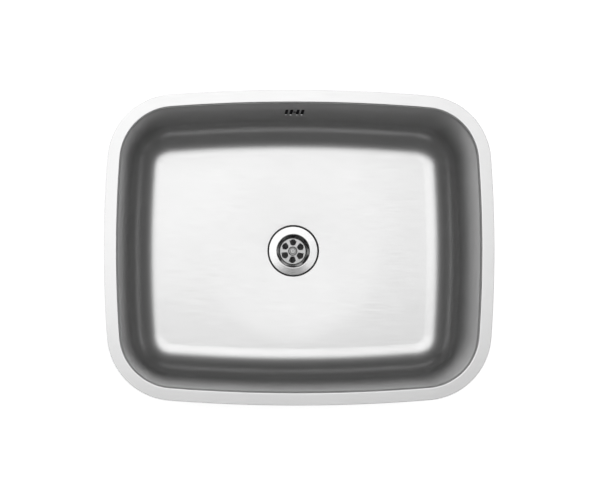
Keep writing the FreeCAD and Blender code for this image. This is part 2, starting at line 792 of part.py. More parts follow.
# ---------------------------------------------------------------- overflow housing

def put_on_wall(body):
    body.Placement = wall_frame
    body.setExpression("Placement.Base.x", of("overflow_offset").formula)
    body.setExpression("Placement.Base.y", wall_y.formula)
    body.setExpression("Placement.Base.z", (-of("overflow_depth")).formula)


def make_overflow_seal():
    body = new_body("overflow_seal")
    section = new_sketch(body, "section", "XZ_Plane")
    wall = of("housing_wall")
    draw_rounded_rectangle(section, 0, 0, of("housing_width"), of("housing_height"),
                           of("housing_corner"))
    draw_rounded_rectangle(section, 0, 0, of("housing_width") - wall * 2,
                           of("housing_height") - wall * 2, of("housing_corner") - wall)
    pad(body, section, "ring", of("overflow_seal_thickness"), reverse=True)
    put_on_wall(body)
    return body


def make_overflow_housing():
    body = new_body("overflow_housing")
    wall = of("housing_wall")
    front = of("overflow_seal_thickness")
    back = front + of("housing_depth")
    outline = new_sketch(body, "outline", "XZ_Plane", height=-front)
    draw_rounded_rectangle(outline, 0, 0, of("housing_width"), of("housing_height"),
                           of("housing_corner"))
    pad(body, outline, "block", of("housing_depth"), reverse=True)
    dress(body, "Fillet", "back_round",
          lambda edge: all(abs(vertex.Point.y - back.number) < 1e-4 for vertex in edge.Vertexes),
          of("housing_edge"))
    cavity_half = of("housing_height") / 2 - wall
    spigot_top = cavity_half - of("hose_bore")
    spigot = new_sketch(body, "spigot_section", height=-of("spigot_drop"))
    draw_circle(spigot, 0, of("spigot_standoff"), of("spigot_radius"))
    pad(body, spigot, "spigot", of("spigot_drop") - spigot_top + wall)
    cavity = new_sketch(body, "cavity_section", "XZ_Plane", height=-front)
    draw_rounded_rectangle(cavity, 0, 0, of("housing_width") - wall * 2,
                           of("housing_height") - wall * 2, of("housing_corner") - wall)
    pocket(body, cavity, "cavity", of("housing_depth") - wall)
    bore = new_sketch(body, "bore_section", height=-of("spigot_drop"))
    draw_circle(bore, 0, of("spigot_standoff"), of("hose_bore"))
    pocket(body, bore, "bore", of("spigot_drop") - spigot_top, reverse=True)
    socket = new_sketch(body, "socket_section", height=-of("spigot_drop"))
    draw_circle(socket, 0, of("spigot_standoff"), of("hose_crest") + of("hole_clearance"))
    pocket(body, socket, "socket", of("socket_depth") + of("hole_clearance"), reverse=True)

    # The post stands through the seal's opening, up to the wall, and takes the screw.
    post = new_sketch(body, "post_section", "XZ_Plane", height=-of("hole_clearance"))
    draw_circle(post, 0, of("overflow_screw_rise"), of("post_radius"))
    pad(body, post, "post", back - of("hole_clearance") - wall / 2, reverse=True)
    hole = new_sketch(body, "screw_section", "XZ_Plane", height=-of("hole_clearance"))
    draw_circle(hole, 0, of("overflow_screw_rise"),
                of("overflow_screw_radius") + of("screw_clearance"))
    pocket(body, hole, "screw_hole", of("overflow_screw_length"))
    put_on_wall(body)
    return body


def make_overflow_screw():
    """The screw through the wall's land; it points along +Y of the wall's frame."""
    body = make_screw("overflow_screw", of("overflow_screw_head"),
                      of("overflow_screw_head_height"), of("overflow_screw_radius"),
                      Size(0), of("overflow_screw_length"))
    inner_face = -(gauge * cos(wall_tilt))
    body.Placement = wall_frame * Placement(
        Vector(0, inner_face.number, of("overflow_screw_rise").number),
        Rotation(Vector(1, 0, 0), 90))
    return body


# ---------------------------------------------------------------- hose and its two joints

def hose_route():
    """The hose's centre line in the YZ plane: a run, one bend and a run, as a wire."""
    reach = math.hypot(of("overflow_offset").number, spigot_face_y.number)
    tilt = math.radians(wall_tilt.number)
    up = Vector(0, math.sin(tilt), math.cos(tilt))
    socket = of("socket_depth").number
    face = Vector(0, reach, spigot_face_z.number)
    start = Vector(0, of("inlet_reach").number - socket, inlet_level.number)
    corner = face - up * ((face.z - start.z) / up.z)
    end = face + up * socket
    back = Vector(0, -1, 0)
    bend = of("hose_bend").number
    trim = bend * math.tan((math.pi / 2 - tilt) / 2)
    first, last = corner + back * trim, corner + up * trim
    centre = first + Vector(0, 0, bend)
    middle = centre + (corner - centre).normalize() * bend
    edges = [
        Part.LineSegment(start, first).toShape(),
        Part.Arc(first, middle, last).toShape(),
        Part.LineSegment(last, end).toShape(),
    ]
    print("hose bend radius", bend, "runs", round((first - start).Length, 1),
          round((end - last).Length, 1))
    return Part.Wire(edges)


def along_route(wire, distance):
    """Point and direction at a distance along the route."""
    for edge in wire.Edges:
        if distance <= edge.Length or edge.isSame(wire.Edges[-1]):
            place = edge.getParameterByLength(min(distance, edge.Length))
            return edge.valueAt(place), edge.tangentAt(place)
        distance -= edge.Length


def make_hose():
    """A ribbed hose: a ruled skin over circles along the route, less its bore."""
    route = hose_route()
    cuff = of("hose_cuff").number
    crest, valley = of("hose_crest").number, of("hose_valley").number
    count = int(of("hose_rib_count").number)
    pitch = (route.Length - 2 * cuff) / count
    stations = [(0.0, crest), (cuff, crest)]
    for rib in range(count):
        start = cuff + rib * pitch
        for name, radius in (("rib_valley_start", valley), ("rib_valley_end", valley),
                             ("rib_crest_start", crest), ("rib_crest_end", crest)):
            stations.append((start + of(name).number * pitch, radius))
    stations.append((route.Length, crest))
    circles = []
    for distance, radius in stations:
        point, direction = along_route(route, distance)
        circle = Part.Circle(point, direction, radius)
        circle.XAxis = Vector(1, 0, 0)
        circles.append(Part.Wire([circle.toShape()]))
    skin = Part.makeLoft(circles, True, True)
    start, direction = along_route(route, 0.0)
    mouth_circle = Part.Wire([Part.Circle(start, direction, of("hose_bore").number).toShape()])
    bore = route.makePipeShell([mouth_circle], True, False)
    shape = skin.cut(bore)
    print("hose length", round(route.Length, 1), "ribs", count, "pitch", round(pitch, 2),
          "valley wall", round(valley - of("hose_bore").number, 2))
    feature = doc.addObject("Part::Feature", "overflow_hose")
    feature.Label = "overflow_hose"
    feature.Shape = shape
    feature.Placement = Placement(Vector(0, 0, 0), to_hose_plane)
    return feature


def joint_placement(upper):
    """The frame of a spigot's face: Z points out of it, along the hose."""
    if upper:
        tilt = math.radians(wall_tilt.number)
        out = Vector(0, -math.sin(tilt), -math.cos(tilt))
        face = Vector(of("overflow_offset").number, spigot_face_y.number, spigot_face_z.number)
        return Placement(face, Rotation(Vector(0, 0, 1), out))
    out = to_hose_plane.multVec(Vector(0, 1, 0))
    face = to_hose_plane.multVec(Vector(0, of("inlet_reach").number, inlet_level.number))
    return Placement(face, Rotation(Vector(0, 0, 1), out))


def make_union_nut(label, upper):
    body = new_body(label)
    outer = of("spigot_radius") + of("screw_clearance") + of("nut_wall")
    thread = of("spigot_radius") + of("screw_clearance")
    hole = of("hose_crest") + of("hole_clearance")
    seal = of("hose_seal_length")
    back = seal + of("nut_back")
    edge = of("nut_back") / 2
    section = new_sketch(body, "section", "XZ_Plane")
    draw_profile(section, [
        (thread, -of("nut_grip")),
        (outer, -of("nut_grip")),
        (outer, back - edge),
        (outer - edge, back),
        (hole, back),
        (hole, seal),
        (thread, seal),
    ])
    turn(body, "Revolution", section, "turned")
    flute = new_sketch(body, "flute_section", height=-of("nut_grip"))
    draw_circle(flute, 0, outer + of("nut_flute") / 2, of("nut_flute"))
    cut = pocket(body, flute, "flute", of("nut_grip") + back + OVERCUT, reverse=True)
    around(body, cut, "flutes", of("nut_flute_count"))
    body.Placement = joint_placement(upper)
    return body


def make_hose_seal(label, upper):
    """A cone-edged rubber ring between a spigot's face and its nut."""
    inner = of("hose_crest") + of("screw_clearance")
    outer = of("spigot_radius") - of("hole_clearance")
    length = of("hose_seal_length")
    body = make_ring(label, [
        (inner, 0), (outer - length / 4, 0), (outer, length / 4), (outer, length),
        (inner, length),
    ])
    body.Placement = joint_placement(upper)
    return body


# ---------------------------------------------------------------- sound pads

def make_pad(label, side):
    """A pad that follows the floor's underside, left or right of the waste."""
    body = new_body(label)
    inner = of("pad_inner_edge") - of("pad_corner")
    reach = of("pad_inner_edge") + of("pad_width")
    outer = root(reach * reach + of("pad_length") * of("pad_length") / 4)
    under = gauge + of("pad_thickness")
    edge = of("dish_radius")
    section = new_sketch(body, "section", "XZ_Plane")
    draw_profile(section, [
        (inner, dish_level(inner, under)),
        (edge, floor_level - under),
        (outer, floor_level - under),
        (outer, floor_level - gauge),
        (edge, floor_level - gauge),
        (inner, dish_level(inner, gauge)),
    ])
    turn(body, "Revolution", section, "blank")
    trim = new_sketch(body, "trim_section")
    draw_circle(trim, 0, 0, outer + OVERCUT)
    draw_rounded_rectangle(trim, (of("pad_inner_edge") + of("pad_width") / 2) * side, 0,
                           of("pad_width"), of("pad_length"), of("pad_corner"))
    pocket(body, trim, "trim")
    return body


# ---------------------------------------------------------------- the whole sink

seal_foot = recess_seat_level - gauge
insert_top = body_top_level - of("boss_drop")
parts = [
    make_bowl(),
    make_pad("sound_pad_left", -1),
    make_pad("sound_pad_right", 1),
    make_strainer(),
    make_ring("strainer_seal", [
        (seal_inner, recess_seat_level),
        (of("strainer_radius"), recess_seat_level),
        (of("strainer_radius"), rim_foot),
        (seal_inner, rim_foot),
    ]),
    make_waste_body(),
    make_ring("waste_body_seal", [
        (seal_inner, body_top_level),
        (of("body_flange_radius"), body_top_level),
        (of("body_flange_radius"), seal_foot),
        (seal_inner, seal_foot),
    ]),
    make_ring("waste_insert", [
        (of("waste_screw_radius") + of("screw_clearance"), insert_top - of("insert_length")),
        (of("insert_radius"), insert_top - of("insert_length")),
        (of("insert_radius"), insert_top),
        (of("waste_screw_radius") + of("screw_clearance"), insert_top),
    ]),
    make_waste_screw(),
    make_overflow_seal(),
    make_overflow_housing(),
    make_overflow_screw(),
    make_hose(),
    make_union_nut("hose_nut_upper", True),
    make_union_nut("hose_nut_lower", False),
    make_hose_seal("hose_seal_upper", True),
    make_hose_seal("hose_seal_lower", False),
]
doc.recompute()
for feature in doc.Objects:
    if "Invalid" in feature.State or "Error" in feature.State:
        raise RuntimeError(feature.Name + " is not computed")
for part in parts:
    if part.Shape.isNull() or not part.Shape.isValid():
        raise RuntimeError(part.Label + " has no valid shape")
    if len(part.Shape.Solids) != 1:
        raise RuntimeError(part.Label + " has %d solids" % len(part.Shape.Solids))

os.makedirs("parts", exist_ok=True)
for part in parts:
    part.Shape.exportStep(os.path.join("parts", part.Label + ".step"))
    box = part.Shape.BoundBox
    print(part.Label, "volume", round(part.Shape.Volume), "mm3, box",
          [round(value, 1) for value in (box.XMin, box.YMin, box.ZMin,
                                         box.XMax, box.YMax, box.ZMax)])
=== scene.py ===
import math

import bmesh
import bpy
from mathutils import Matrix, Vector


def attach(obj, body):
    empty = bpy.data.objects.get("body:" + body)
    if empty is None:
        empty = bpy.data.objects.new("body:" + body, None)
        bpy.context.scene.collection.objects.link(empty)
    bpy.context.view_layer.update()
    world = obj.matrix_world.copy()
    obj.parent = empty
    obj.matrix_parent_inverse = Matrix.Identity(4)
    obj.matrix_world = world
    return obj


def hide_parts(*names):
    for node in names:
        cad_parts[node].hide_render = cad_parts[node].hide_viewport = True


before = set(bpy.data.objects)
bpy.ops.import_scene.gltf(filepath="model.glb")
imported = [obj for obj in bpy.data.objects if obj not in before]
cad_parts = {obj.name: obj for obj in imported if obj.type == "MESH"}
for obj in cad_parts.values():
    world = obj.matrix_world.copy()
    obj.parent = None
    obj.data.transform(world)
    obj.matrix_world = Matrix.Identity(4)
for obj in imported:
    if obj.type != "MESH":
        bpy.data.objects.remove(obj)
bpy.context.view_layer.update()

bl_info = {
    "name": "Undermount Sink",
    "version": (1, 0, 0),
    "blender": (4, 5, 0),
    "location": "View3D > Sidebar > Sink",
    "description": "Builds an undermount bowl with its waste, its overflow and a studio",
    "category": "Add Mesh",
}

MM = 0.001
FULL_TURN = 2 * math.pi


# ---------------------------------------------------------------- settings

def length(name, description, millimetres):
    return bpy.props.FloatProperty(name=name, description=description, unit="LENGTH",
                                   default=millimetres * MM, precision=5)


def angle(name, description, degrees):
    return bpy.props.FloatProperty(name=name, description=description, unit="ROTATION",
                                   subtype="ANGLE", default=math.radians(degrees))


def share(name, description, value):
    return bpy.props.FloatProperty(name=name, description=description, subtype="FACTOR",
                                   default=value, min=0, max=1)


def number(name, description, value):
    return bpy.props.IntProperty(name=name, description=description, default=value, min=1)


def colour(name, description, value):
    return bpy.props.FloatVectorProperty(name=name, description=description, subtype="COLOR",
                                         size=3, default=value, min=0, max=1)


class SinkBowlSettings(bpy.types.PropertyGroup):
    mouth_length: length("Mouth length", "Opening from left to right", 494)
    mouth_width: length("Mouth width", "Opening from front to back", 392)
    side_bow: length("Side bow", "Radius of the bowed left and right sides", 1690)
    front_bow: length("Front bow", "Radius of the bowed front and back sides", 2220)
    corner: length("Corner", "Corner radius of the mouth", 73)
    flange_width: length("Flange width", "Flat rim round the mouth", 18)
    depth: length("Depth", "Flange to floor", 180)
    gauge: length("Gauge", "Thickness of the sheet", 1)
    draft: angle("Draft", "Lean of the walls", 5.25)
    floor_round: length("Floor round", "Round between walls and floor", 43)
    mouth_bend: length("Mouth bend", "Outer radius of the bend between flange and wall", 3.2)
    neck_offset: length("Neck offset", "Neck's top outside the mouth line", 0.15)
    neck_depth: length("Neck depth", "Height of the neck under the flange", 6.5)
    neck_lean: angle("Neck lean", "Lean of that neck, more than the wall's", 13)
    neck_round: length("Neck round", "Round between the neck and the wall", 2)
    dish_radius: length("Dish radius", "Where the floor starts to fall to the waste", 135)
    floor_fall: length("Floor fall", "Fall of the floor to the recess", 3)
    recess_radius: length("Recess radius", "Recess for the strainer flange", 36.5)
    recess_taper: length("Recess taper", "How much smaller the recess is at its seat", 0.8)
    recess_depth: length("Recess depth", "Depth of the recess", 4)
    waste_hole: length("Waste hole", "Radius of the hole for the waste", 26)
    slot_centre: length("Slot centre", "Middle of the overflow slots, left of the centre", -4)
    slot_depth: length("Slot depth", "Flange to the middle of the slots", 71.5)
    slot_width: length("Slot width", "Width of a slot", 4.3)
    slot_height: length("Slot height", "Height of a slot", 44)
    slot_pitch: length("Slot pitch", "Distance between the two slots of a side", 6.6)
    slot_land: length("Slot land", "Steel between the inner slots", 4.6)
    slot_corner: length("Slot corner", "Corner radius of a slot", 1)
    screw_rise: length("Screw rise", "Overflow screw above the middle of the slots", 4)
    screw_hole: length("Screw hole", "Radius of the hole for the overflow screw", 1.75)
    edge_round: length("Edge round", "Round of the sheet's cut edges", 0.28)
    steel: colour("Steel", "Colour of the bowl's steel", (0.62, 0.62, 0.62))
    roughness: share("Roughness", "Roughness of the satin finish", 0.32)


class SinkWasteSettings(bpy.types.PropertyGroup):
    rim_radius: length("Rim radius", "Outer radius of the strainer flange", 35)
    rim_width: length("Rim width", "Turned-down rim of the strainer flange", 2.4)
    rim_height: length("Rim height", "Height of that rim", 1.1)
    rim_drop: length("Rim drop", "Rim below the floor beside it", 1.4)
    crown: length("Crown", "Rim to the flange's top at the plug seat", 1.4)
    sheet: length("Sheet", "Thickness of the strainer", 1)
    neck: length("Neck", "Radius of the plug seat at its top", 23.2)
    grid_radius: length("Grid radius", "Radius of the grid", 18.9)
    grid_depth: length("Grid depth", "Rim to the grid", 14.3)
    grid_crown: length("Grid crown", "Rise of the grid to its middle", 0.8)
    hole_radius: length("Hole radius", "Radius of a drain hole", 4.25)
    hole_circle: length("Hole circle", "Circle that the drain holes lie on", 12.7)
    hole_count: number("Hole count", "Number of drain holes", 6)
    grid_turn: angle("Grid turn", "How far the grid is turned", -2)
    dimple_radius: length("Dimple", "Dimple for the screw at the grid", 6.4)
    dimple_seat: length("Dimple seat", "Flat seat of the dimple", 5.2)
    dimple_depth: length("Dimple depth", "Depth of the dimple", 1.6)
    screw_radius: length("Screw radius", "Shank of the waste screw", 3)
    screw_length: length("Screw length", "Waste screw under its head", 26)
    head_radius: length("Head radius", "Head of the waste screw", 4.3)
    head_height: length("Head height", "Height of that head", 2.4)
    socket: length("Socket", "Corner radius of the hexagon socket", 1.5)
    socket_depth: length("Socket depth", "Depth of that socket", 1.4)
    steel: colour("Strainer steel", "Colour of the strainer", (0.60, 0.60, 0.60))
    roughness: share("Strainer roughness", "Roughness of the strainer's polish", 0.20)
    # painted shade: share of its colour that the grid keeps down in the drain
    grid_shade: share("Grid tone", "How bright the grid is beside the flange", 0.55)
    screw_steel: colour("Screw steel", "Colour of the waste screw", (0.66, 0.66, 0.66))
    brass: colour("Brass", "Colour of the insert", (0.72, 0.56, 0.28))
    plastic: colour("Plastic", "Colour of the moulded fittings", (0.032, 0.032, 0.035))
    rubber: colour("Rubber", "Colour of the seals", (0.03, 0.03, 0.03))


class SinkFittingSettings(bpy.types.PropertyGroup):
    seal_inner: length("Seal inner", "Inner radius of the two waste seals", 27)
    seal_thickness: length("Seal thickness", "Seal between bowl and waste body", 2)
    flange_radius: length("Body flange", "Flange of the waste body", 35.5)
    flange_thickness: length("Flange thickness", "Thickness of that flange", 4)
    bore: length("Chamber bore", "Inner radius of the chamber", 25.5)
    wall: length("Chamber wall", "Wall of the chamber", 3)
    chamber_depth: length("Chamber depth", "Flange top to the chamber's foot", 34)
    funnel: length("Funnel", "Height of the funnel", 8)
    outlet_radius: length("Outlet radius", "Thread of the outlet, outer radius", 23.9)
    outlet_bore: length("Outlet bore", "Bore radius of the outlet", 20)
    outlet_length: length("Outlet length", "Length of the outlet", 22)
    thread_pitch: length("Thread pitch", "Pitch of the outlet thread", 2.309)
    boss_drop: length("Boss drop", "Flange top to the boss", 13)
    boss_length: length("Boss length", "Length of the boss", 18)
    boss_wall: length("Boss wall", "Plastic round the insert", 2.4)
    insert_radius: length("Insert radius", "Outer radius of the brass insert", 5)
    insert_length: length("Insert length", "Length of the insert", 12)
    web_width: length("Web width", "Thickness of a web", 2.6)
    web_count: number("Web count", "Webs that carry the boss", 3)
    inlet_drop: length("Inlet drop", "Flange top to the inlet's axis", 22)
    inlet_reach: length("Inlet reach", "Waste axis to the inlet's face", 50)
    spigot_radius: length("Spigot radius", "Thread radius of a spigot", 13.5)
    spigot_pitch: length("Spigot pitch", "Pitch of a spigot's thread", 2)
    socket_depth: length("Socket depth", "Length of the cuff inside a spigot", 10)
    nut_wall: length("Nut wall", "Wall of a union nut", 2.9)
    nut_back: length("Nut back", "Back wall of a union nut", 2.4)
    nut_grip: length("Nut grip", "Length of thread inside a nut", 9)
    flute_radius: length("Flute", "Radius of a grip flute", 1.6)
    flute_count: number("Flute count", "Number of grip flutes", 12)
    hose_seal: length("Hose seal", "Length of a hose seal", 3.2)
    clearance: length("Clearance", "Play of a part in a plain hole", 0.3)
    fit: length("Fit", "Play of a part in its thread", 0.05)


class SinkOverflowSettings(bpy.types.PropertyGroup):
    width: length("Width", "Housing from left to right", 44)
    height: length("Height", "Housing along the wall", 54)
    depth: length("Depth", "Housing away from its seal", 20)
    corner: length("Corner", "Corner radius of the housing", 12)
    wall: length("Wall", "Wall of the housing", 2.6)
    edge: length("Edge", "Round of the outer back edge", 4)
    seal: length("Seal", "Seal between wall and housing", 2.5)
    standoff: length("Standoff", "Wall to the spigot's axis", 17.5)
    drop: length("Drop", "Middle of the slots to the spigot's face", 45)
    post_radius: length("Post radius", "Screw post of the housing", 3.4)
    screw_radius: length("Screw radius", "Shank of the overflow screw", 1.45)
    screw_length: length("Screw length", "Overflow screw under its head", 12)
    head_radius: length("Head radius", "Head of the overflow screw", 2.2)
    head_height: length("Head height", "Height of that head", 1.5)
    socket: length("Socket", "Corner radius of the hexagon socket", 1.0)
    dark_steel: colour("Dark steel", "Colour of the overflow screw", (0.10, 0.10, 0.10))


class SinkHoseSettings(bpy.types.PropertyGroup):
    crest: length("Crest", "Outer radius at the ribs and cuffs", 10)
    valley: length("Valley", "Outer radius between the ribs", 8.6)
    bore: length("Bore", "Bore radius", 7.6)
    cuff: length("Cuff", "Plain cuff at each end", 18)
    bend: length("Bend", "Radius of the bend", 60)
    ribs: number("Ribs", "Number of ribs", 30)
    sides: number("Sides", "Faces round the hose", 48)
    plastic: colour("Hose plastic", "Colour of the hose", (0.55, 0.56, 0.57))


class SinkPadSettings(bpy.types.PropertyGroup):
    thickness: length("Thickness", "Thickness of a pad", 2.5)
    length: length("Length", "Pad from front to back", 190)
    width: length("Width", "Pad from left to right", 110)
    inner_edge: length("Inner edge", "Centre line to the pad", 62)
    corner: length("Corner", "Corner radius of a pad", 15)
    compound: colour("Compound", "Colour of the pads", (0.12, 0.12, 0.12))


class SinkStageSettings(bpy.types.PropertyGroup):
    camera: bpy.props.FloatVectorProperty(
        name="Camera", description="Place of the camera", subtype="TRANSLATION",
        unit="LENGTH", size=3, default=(-0.183, -0.097, 3.5))
    view_width: length("View width", "Width that the picture shows at the flange", 813.3)
    shift: bpy.props.FloatProperty(
        name="Shift", description="Upright shift of the picture, in picture widths",
        default=-2.65 / 600)
    floor_level: length("Floor level", "Height of the studio floor", -254.1)
    floor_glow: share("Floor glow", "Share of the floor's white that needs no lamp", 0.92)
    lamp: bpy.props.FloatVectorProperty(
        name="Lamp", description="Place of the soft box", subtype="TRANSLATION",
        unit="LENGTH", size=3, default=(-0.09, 0.29, 1.4))
    lamp_length: length("Lamp length", "Soft box from left to right", 1420)
    lamp_width: length("Lamp width", "Soft box from front to back", 1200)
    lamp_power: bpy.props.FloatProperty(
        name="Lamp power", description="Power of the soft box", unit="POWER", default=9.0)
    surroundings: share("Surroundings", "Brightness of the dim studio walls", 0.11)


SETTINGS = {
    "sink_bowl": SinkBowlSettings,
    "sink_waste": SinkWasteSettings,
    "sink_fitting": SinkFittingSettings,
    "sink_overflow": SinkOverflowSettings,
    "sink_hose": SinkHoseSettings,
    "sink_pad": SinkPadSettings,
    "sink_stage": SinkStageSettings,
}


# ---------------------------------------------------------------- mesh tools

def draw_chain(bm, corners, closed=False, hold=0.0):
    """Edges in the XZ plane through corners (across, level, round); returns the first vertex.

    Long edges get a vertex at the hold distance from both ends, so that flat faces stay
    evenly shaded up to the rounds beside them.
    """
    verts = [bm.verts.new((across, 0, level)) for across, level, _ in corners]
    pairs = list(zip(verts, verts[1:]))
    if closed:
        pairs.append((verts[-1], verts[0]))
    for first, second in pairs:
        bm.edges.new((first, second))
    start = verts[0]
    for vert, (_, _, radius) in zip(verts, corners):
        if radius:
            near, far = [edge.other_vert(vert).co - vert.co for edge in vert.link_edges]
            trim = radius / math.tan(near.angle(far) / 2)
            turn = math.pi - near.angle(far)
            steps = max(2, round(min(turn / math.radians(9), 4 + 2 * radius / MM)))
            bmesh.ops.bevel(bm, geom=[vert], affect="VERTICES", offset_type="OFFSET",
                            offset=trim, segments=steps, profile=0.5, material=-1)
    if hold:
        for edge in [edge for edge in bm.edges if edge.calc_length() > 4 * hold]:
            for vert in edge.verts[:]:
                bmesh.utils.edge_split(edge, vert, hold / edge.calc_length())
    return start


def in_order(start):
    """The vertices of an open chain of edges, from its start."""
    chain, before = [start], None
    while True:
        here = chain[-1]
        onward = [edge.other_vert(here) for edge in here.link_edges
                  if edge.other_vert(here) is not before]
        if not onward:
            return chain
        before = here
        chain.append(onward[0])


def turned(corners, steps=96, closed=True, hold=0.0):
    """A chain turned once about the Z axis."""
    bm = bmesh.new()
    draw_chain(bm, corners, closed, hold)
    bmesh.ops.spin(bm, geom=bm.verts[:] + bm.edges[:], cent=(0, 0, 0), axis=(0, 0, 1),
                   angle=FULL_TURN, steps=steps, use_merge=True)
    bmesh.ops.remove_doubles(bm, verts=bm.verts[:], dist=0.001 * MM)
    bmesh.ops.recalc_face_normals(bm, faces=bm.faces[:])
    return bm


def helical_ridge(core, crest, pitch, low, high, steps=48):
    """A thread: a flat-topped ridge that winds up from one level to the other."""
    bm = bmesh.new()
    sunk = core - 0.2 * MM
    rise = (crest - core) * 0.58
    land = pitch * 0.12
    section = [(sunk, -land / 2 - rise), (crest, -land / 2), (crest, land / 2),
               (sunk, land / 2 + rise)]
    verts = [bm.verts.new((across, 0, low + rise + land / 2 + level))
             for across, level in section]
    for index, vert in enumerate(verts):
        bm.edges.new((vert, verts[(index + 1) % len(verts)]))
    turns = (high - low - 2 * rise - land) / pitch
    count = max(1, round(turns * steps))
    bmesh.ops.spin(bm, geom=bm.verts[:] + bm.edges[:], cent=(0, 0, 0), axis=(0, 0, 1),
                   dvec=(0, 0, pitch / steps), angle=FULL_TURN * count / steps, steps=count,
                   use_merge=False)
    bmesh.ops.holes_fill(bm, edges=[edge for edge in bm.edges if edge.is_boundary], sides=0)
    bmesh.ops.recalc_face_normals(bm, faces=bm.faces[:])
    return bm


def block(width, run, height, centre, corner=0.0, axis=None, steps=8):
    """A box; the edges along one axis are rounded where a corner radius is given."""
    bm = bmesh.new()
    bmesh.ops.create_cube(bm, size=1)
    bmesh.ops.scale(bm, vec=(width, run, height), verts=bm.verts[:])
    if corner:
        edges = [edge for edge in bm.edges
                 if abs((edge.verts[0].co - edge.verts[1].co).normalized()[axis]) > 0.99]
        bmesh.ops.bevel(bm, geom=edges, affect="EDGES", offset_type="OFFSET", offset=corner,
                        segments=steps, profile=0.5, material=-1)
    bmesh.ops.translate(bm, vec=centre, verts=bm.verts[:])
    return bm


def rod(radius, low, high, steps=48, below=None, above=None, ease=0.3 * MM):
    """A cylinder on the Z axis; as a cutter it leaves rounded edges at the levels given."""
    proud, wide = 0.02 * MM, radius + 1.8 * ease
    corners = [(0, low, 0)]
    corners += [(radius, low, 0)] if below is None else [
        (wide, low, 0), (wide, below - proud, 0), (radius, below - proud, ease)]
    corners += [(radius, high, 0)] if above is None else [
        (radius, above + proud, ease), (wide, above + proud, 0), (wide, high, 0)]
    corners.append((0, high, 0))
    return turned(corners, steps, closed=False)


def placed(bm, matrix):
    bmesh.ops.transform(bm, matrix=matrix, verts=bm.verts[:])
    return bm


def raw_object(bm, name="cutter"):
    mesh = bpy.data.meshes.new(name)
    bm.to_mesh(mesh)
    bm.free()
    piece = bpy.data.objects.new(name, mesh)
    bpy.context.scene.collection.objects.link(piece)
    return piece


def settle(piece):
    """Applies the modifiers of a piece to its mesh."""
    graph = bpy.context.evaluated_depsgraph_get()
    mesh = bpy.data.meshes.new_from_object(piece.evaluated_get(graph))
    piece.modifiers.clear()
    piece.data = mesh


def combine(piece, tools, operation):
    """Cuts the tools out of a piece or joins them to it, and removes them."""
    for tool in tools:
        modifier = piece.modifiers.new(operation.lower(), "BOOLEAN")
        modifier.operation = operation
        modifier.solver = "EXACT"
        modifier.object = tool
        settle(piece)
        bpy.data.objects.remove(tool)
        bm = bmesh.new()
        bm.from_mesh(piece.data)
        bmesh.ops.remove_doubles(bm, verts=bm.verts[:], dist=0.002 * MM)
        bmesh.ops.dissolve_degenerate(bm, edges=bm.edges[:], dist=0.002 * MM)
        bm.to_mesh(piece.data)
        bm.free()


def soften(piece, width, limit=40, segments=2):
    """Rounds the sharp edges of a piece a little."""
    modifier = piece.modifiers.new("soften", "BEVEL")
    modifier.width = width
    modifier.segments = segments
    modifier.limit_method = "ANGLE"
    modifier.angle_limit = math.radians(limit)
    modifier.use_clamp_overlap = True
    settle(piece)


def finish_piece(piece, name, material, slot, *nodes, sharp=35):
    """Names, shades and dresses a piece, attaches it to the root and hides the CAD parts it
    stands for.
    """
    piece.name = name
    piece.data.name = name
    piece.data.materials.clear()
    piece.data.materials.append(material)
    piece.data.shade_smooth()
    piece.data.set_sharp_from_angle(angle=math.radians(sharp))
    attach(piece, "root")
    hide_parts(*nodes)
    return piece


# ---------------------------------------------------------------- finishes

def new_finish(name, tint, metallic, roughness):
    """A material with its node tree and its shader."""
    material = bpy.data.materials.new(name)
    material.use_nodes = True
    tree = material.node_tree
    shader = tree.nodes["Principled BSDF"]
    shader.inputs["Base Color"].default_value = (*tint, 1)
    shader.inputs["Metallic"].default_value = metallic
    shader.inputs["Roughness"].default_value = roughness
    return material, tree, shader


def place_noise(tree, scale, stretch=(1, 1, 1), detail=4, turn=0.0):
    """Noise on Object coordinates; the stretch is how fine it is along each axis."""
    coordinates = tree.nodes.new("ShaderNodeTexCoord")
    mapping = tree.nodes.new("ShaderNodeMapping")
    mapping.inputs["Scale"].default_value = stretch
    mapping.inputs["Rotation"].default_value = (0, 0, turn)
    noise = tree.nodes.new("ShaderNodeTexNoise")
    noise.inputs["Scale"].default_value = scale
    noise.inputs["Detail"].default_value = detail
    tree.links.new(coordinates.outputs["Object"], mapping.inputs["Vector"])
    tree.links.new(mapping.outputs["Vector"], noise.inputs["Vector"])
    return noise


def spread(tree, source, socket, low, high):
    """Links a noise to a socket between two values."""
    remap = tree.nodes.new("ShaderNodeMapRange")
    remap.inputs["From Min"].default_value = 0.3
    remap.inputs["From Max"].default_value = 0.7
    remap.inputs["To Min"].default_value = low
    remap.inputs["To Max"].default_value = high
    tree.links.new(source.outputs["Fac"], remap.inputs["Value"])
    tree.links.new(remap.outputs["Result"], socket)


def tinted(tree, source, shader, low, high):
    """Colour between two tints, driven by a noise."""
    mix = tree.nodes.new("ShaderNodeMix")
    mix.data_type = "RGBA"
    mix.inputs["A"].default_value = (*low, 1)
    mix.inputs["B"].default_value = (*high, 1)
    tree.links.new(source.outputs["Fac"], mix.inputs["Factor"])
    tree.links.new(mix.outputs["Result"], shader.inputs["Base Color"])


def raise_bump(tree, source, shader, distance, strength):
    bump = tree.nodes.new("ShaderNodeBump")
    bump.inputs["Distance"].default_value = distance
    bump.inputs["Strength"].default_value = strength
    tree.links.new(source.outputs["Fac"], bump.inputs["Height"])
    tree.links.new(bump.outputs["Normal"], shader.inputs["Normal"])


def scaled_tint(tint, factor):
    return tuple(min(1.0, part * factor) for part in tint)


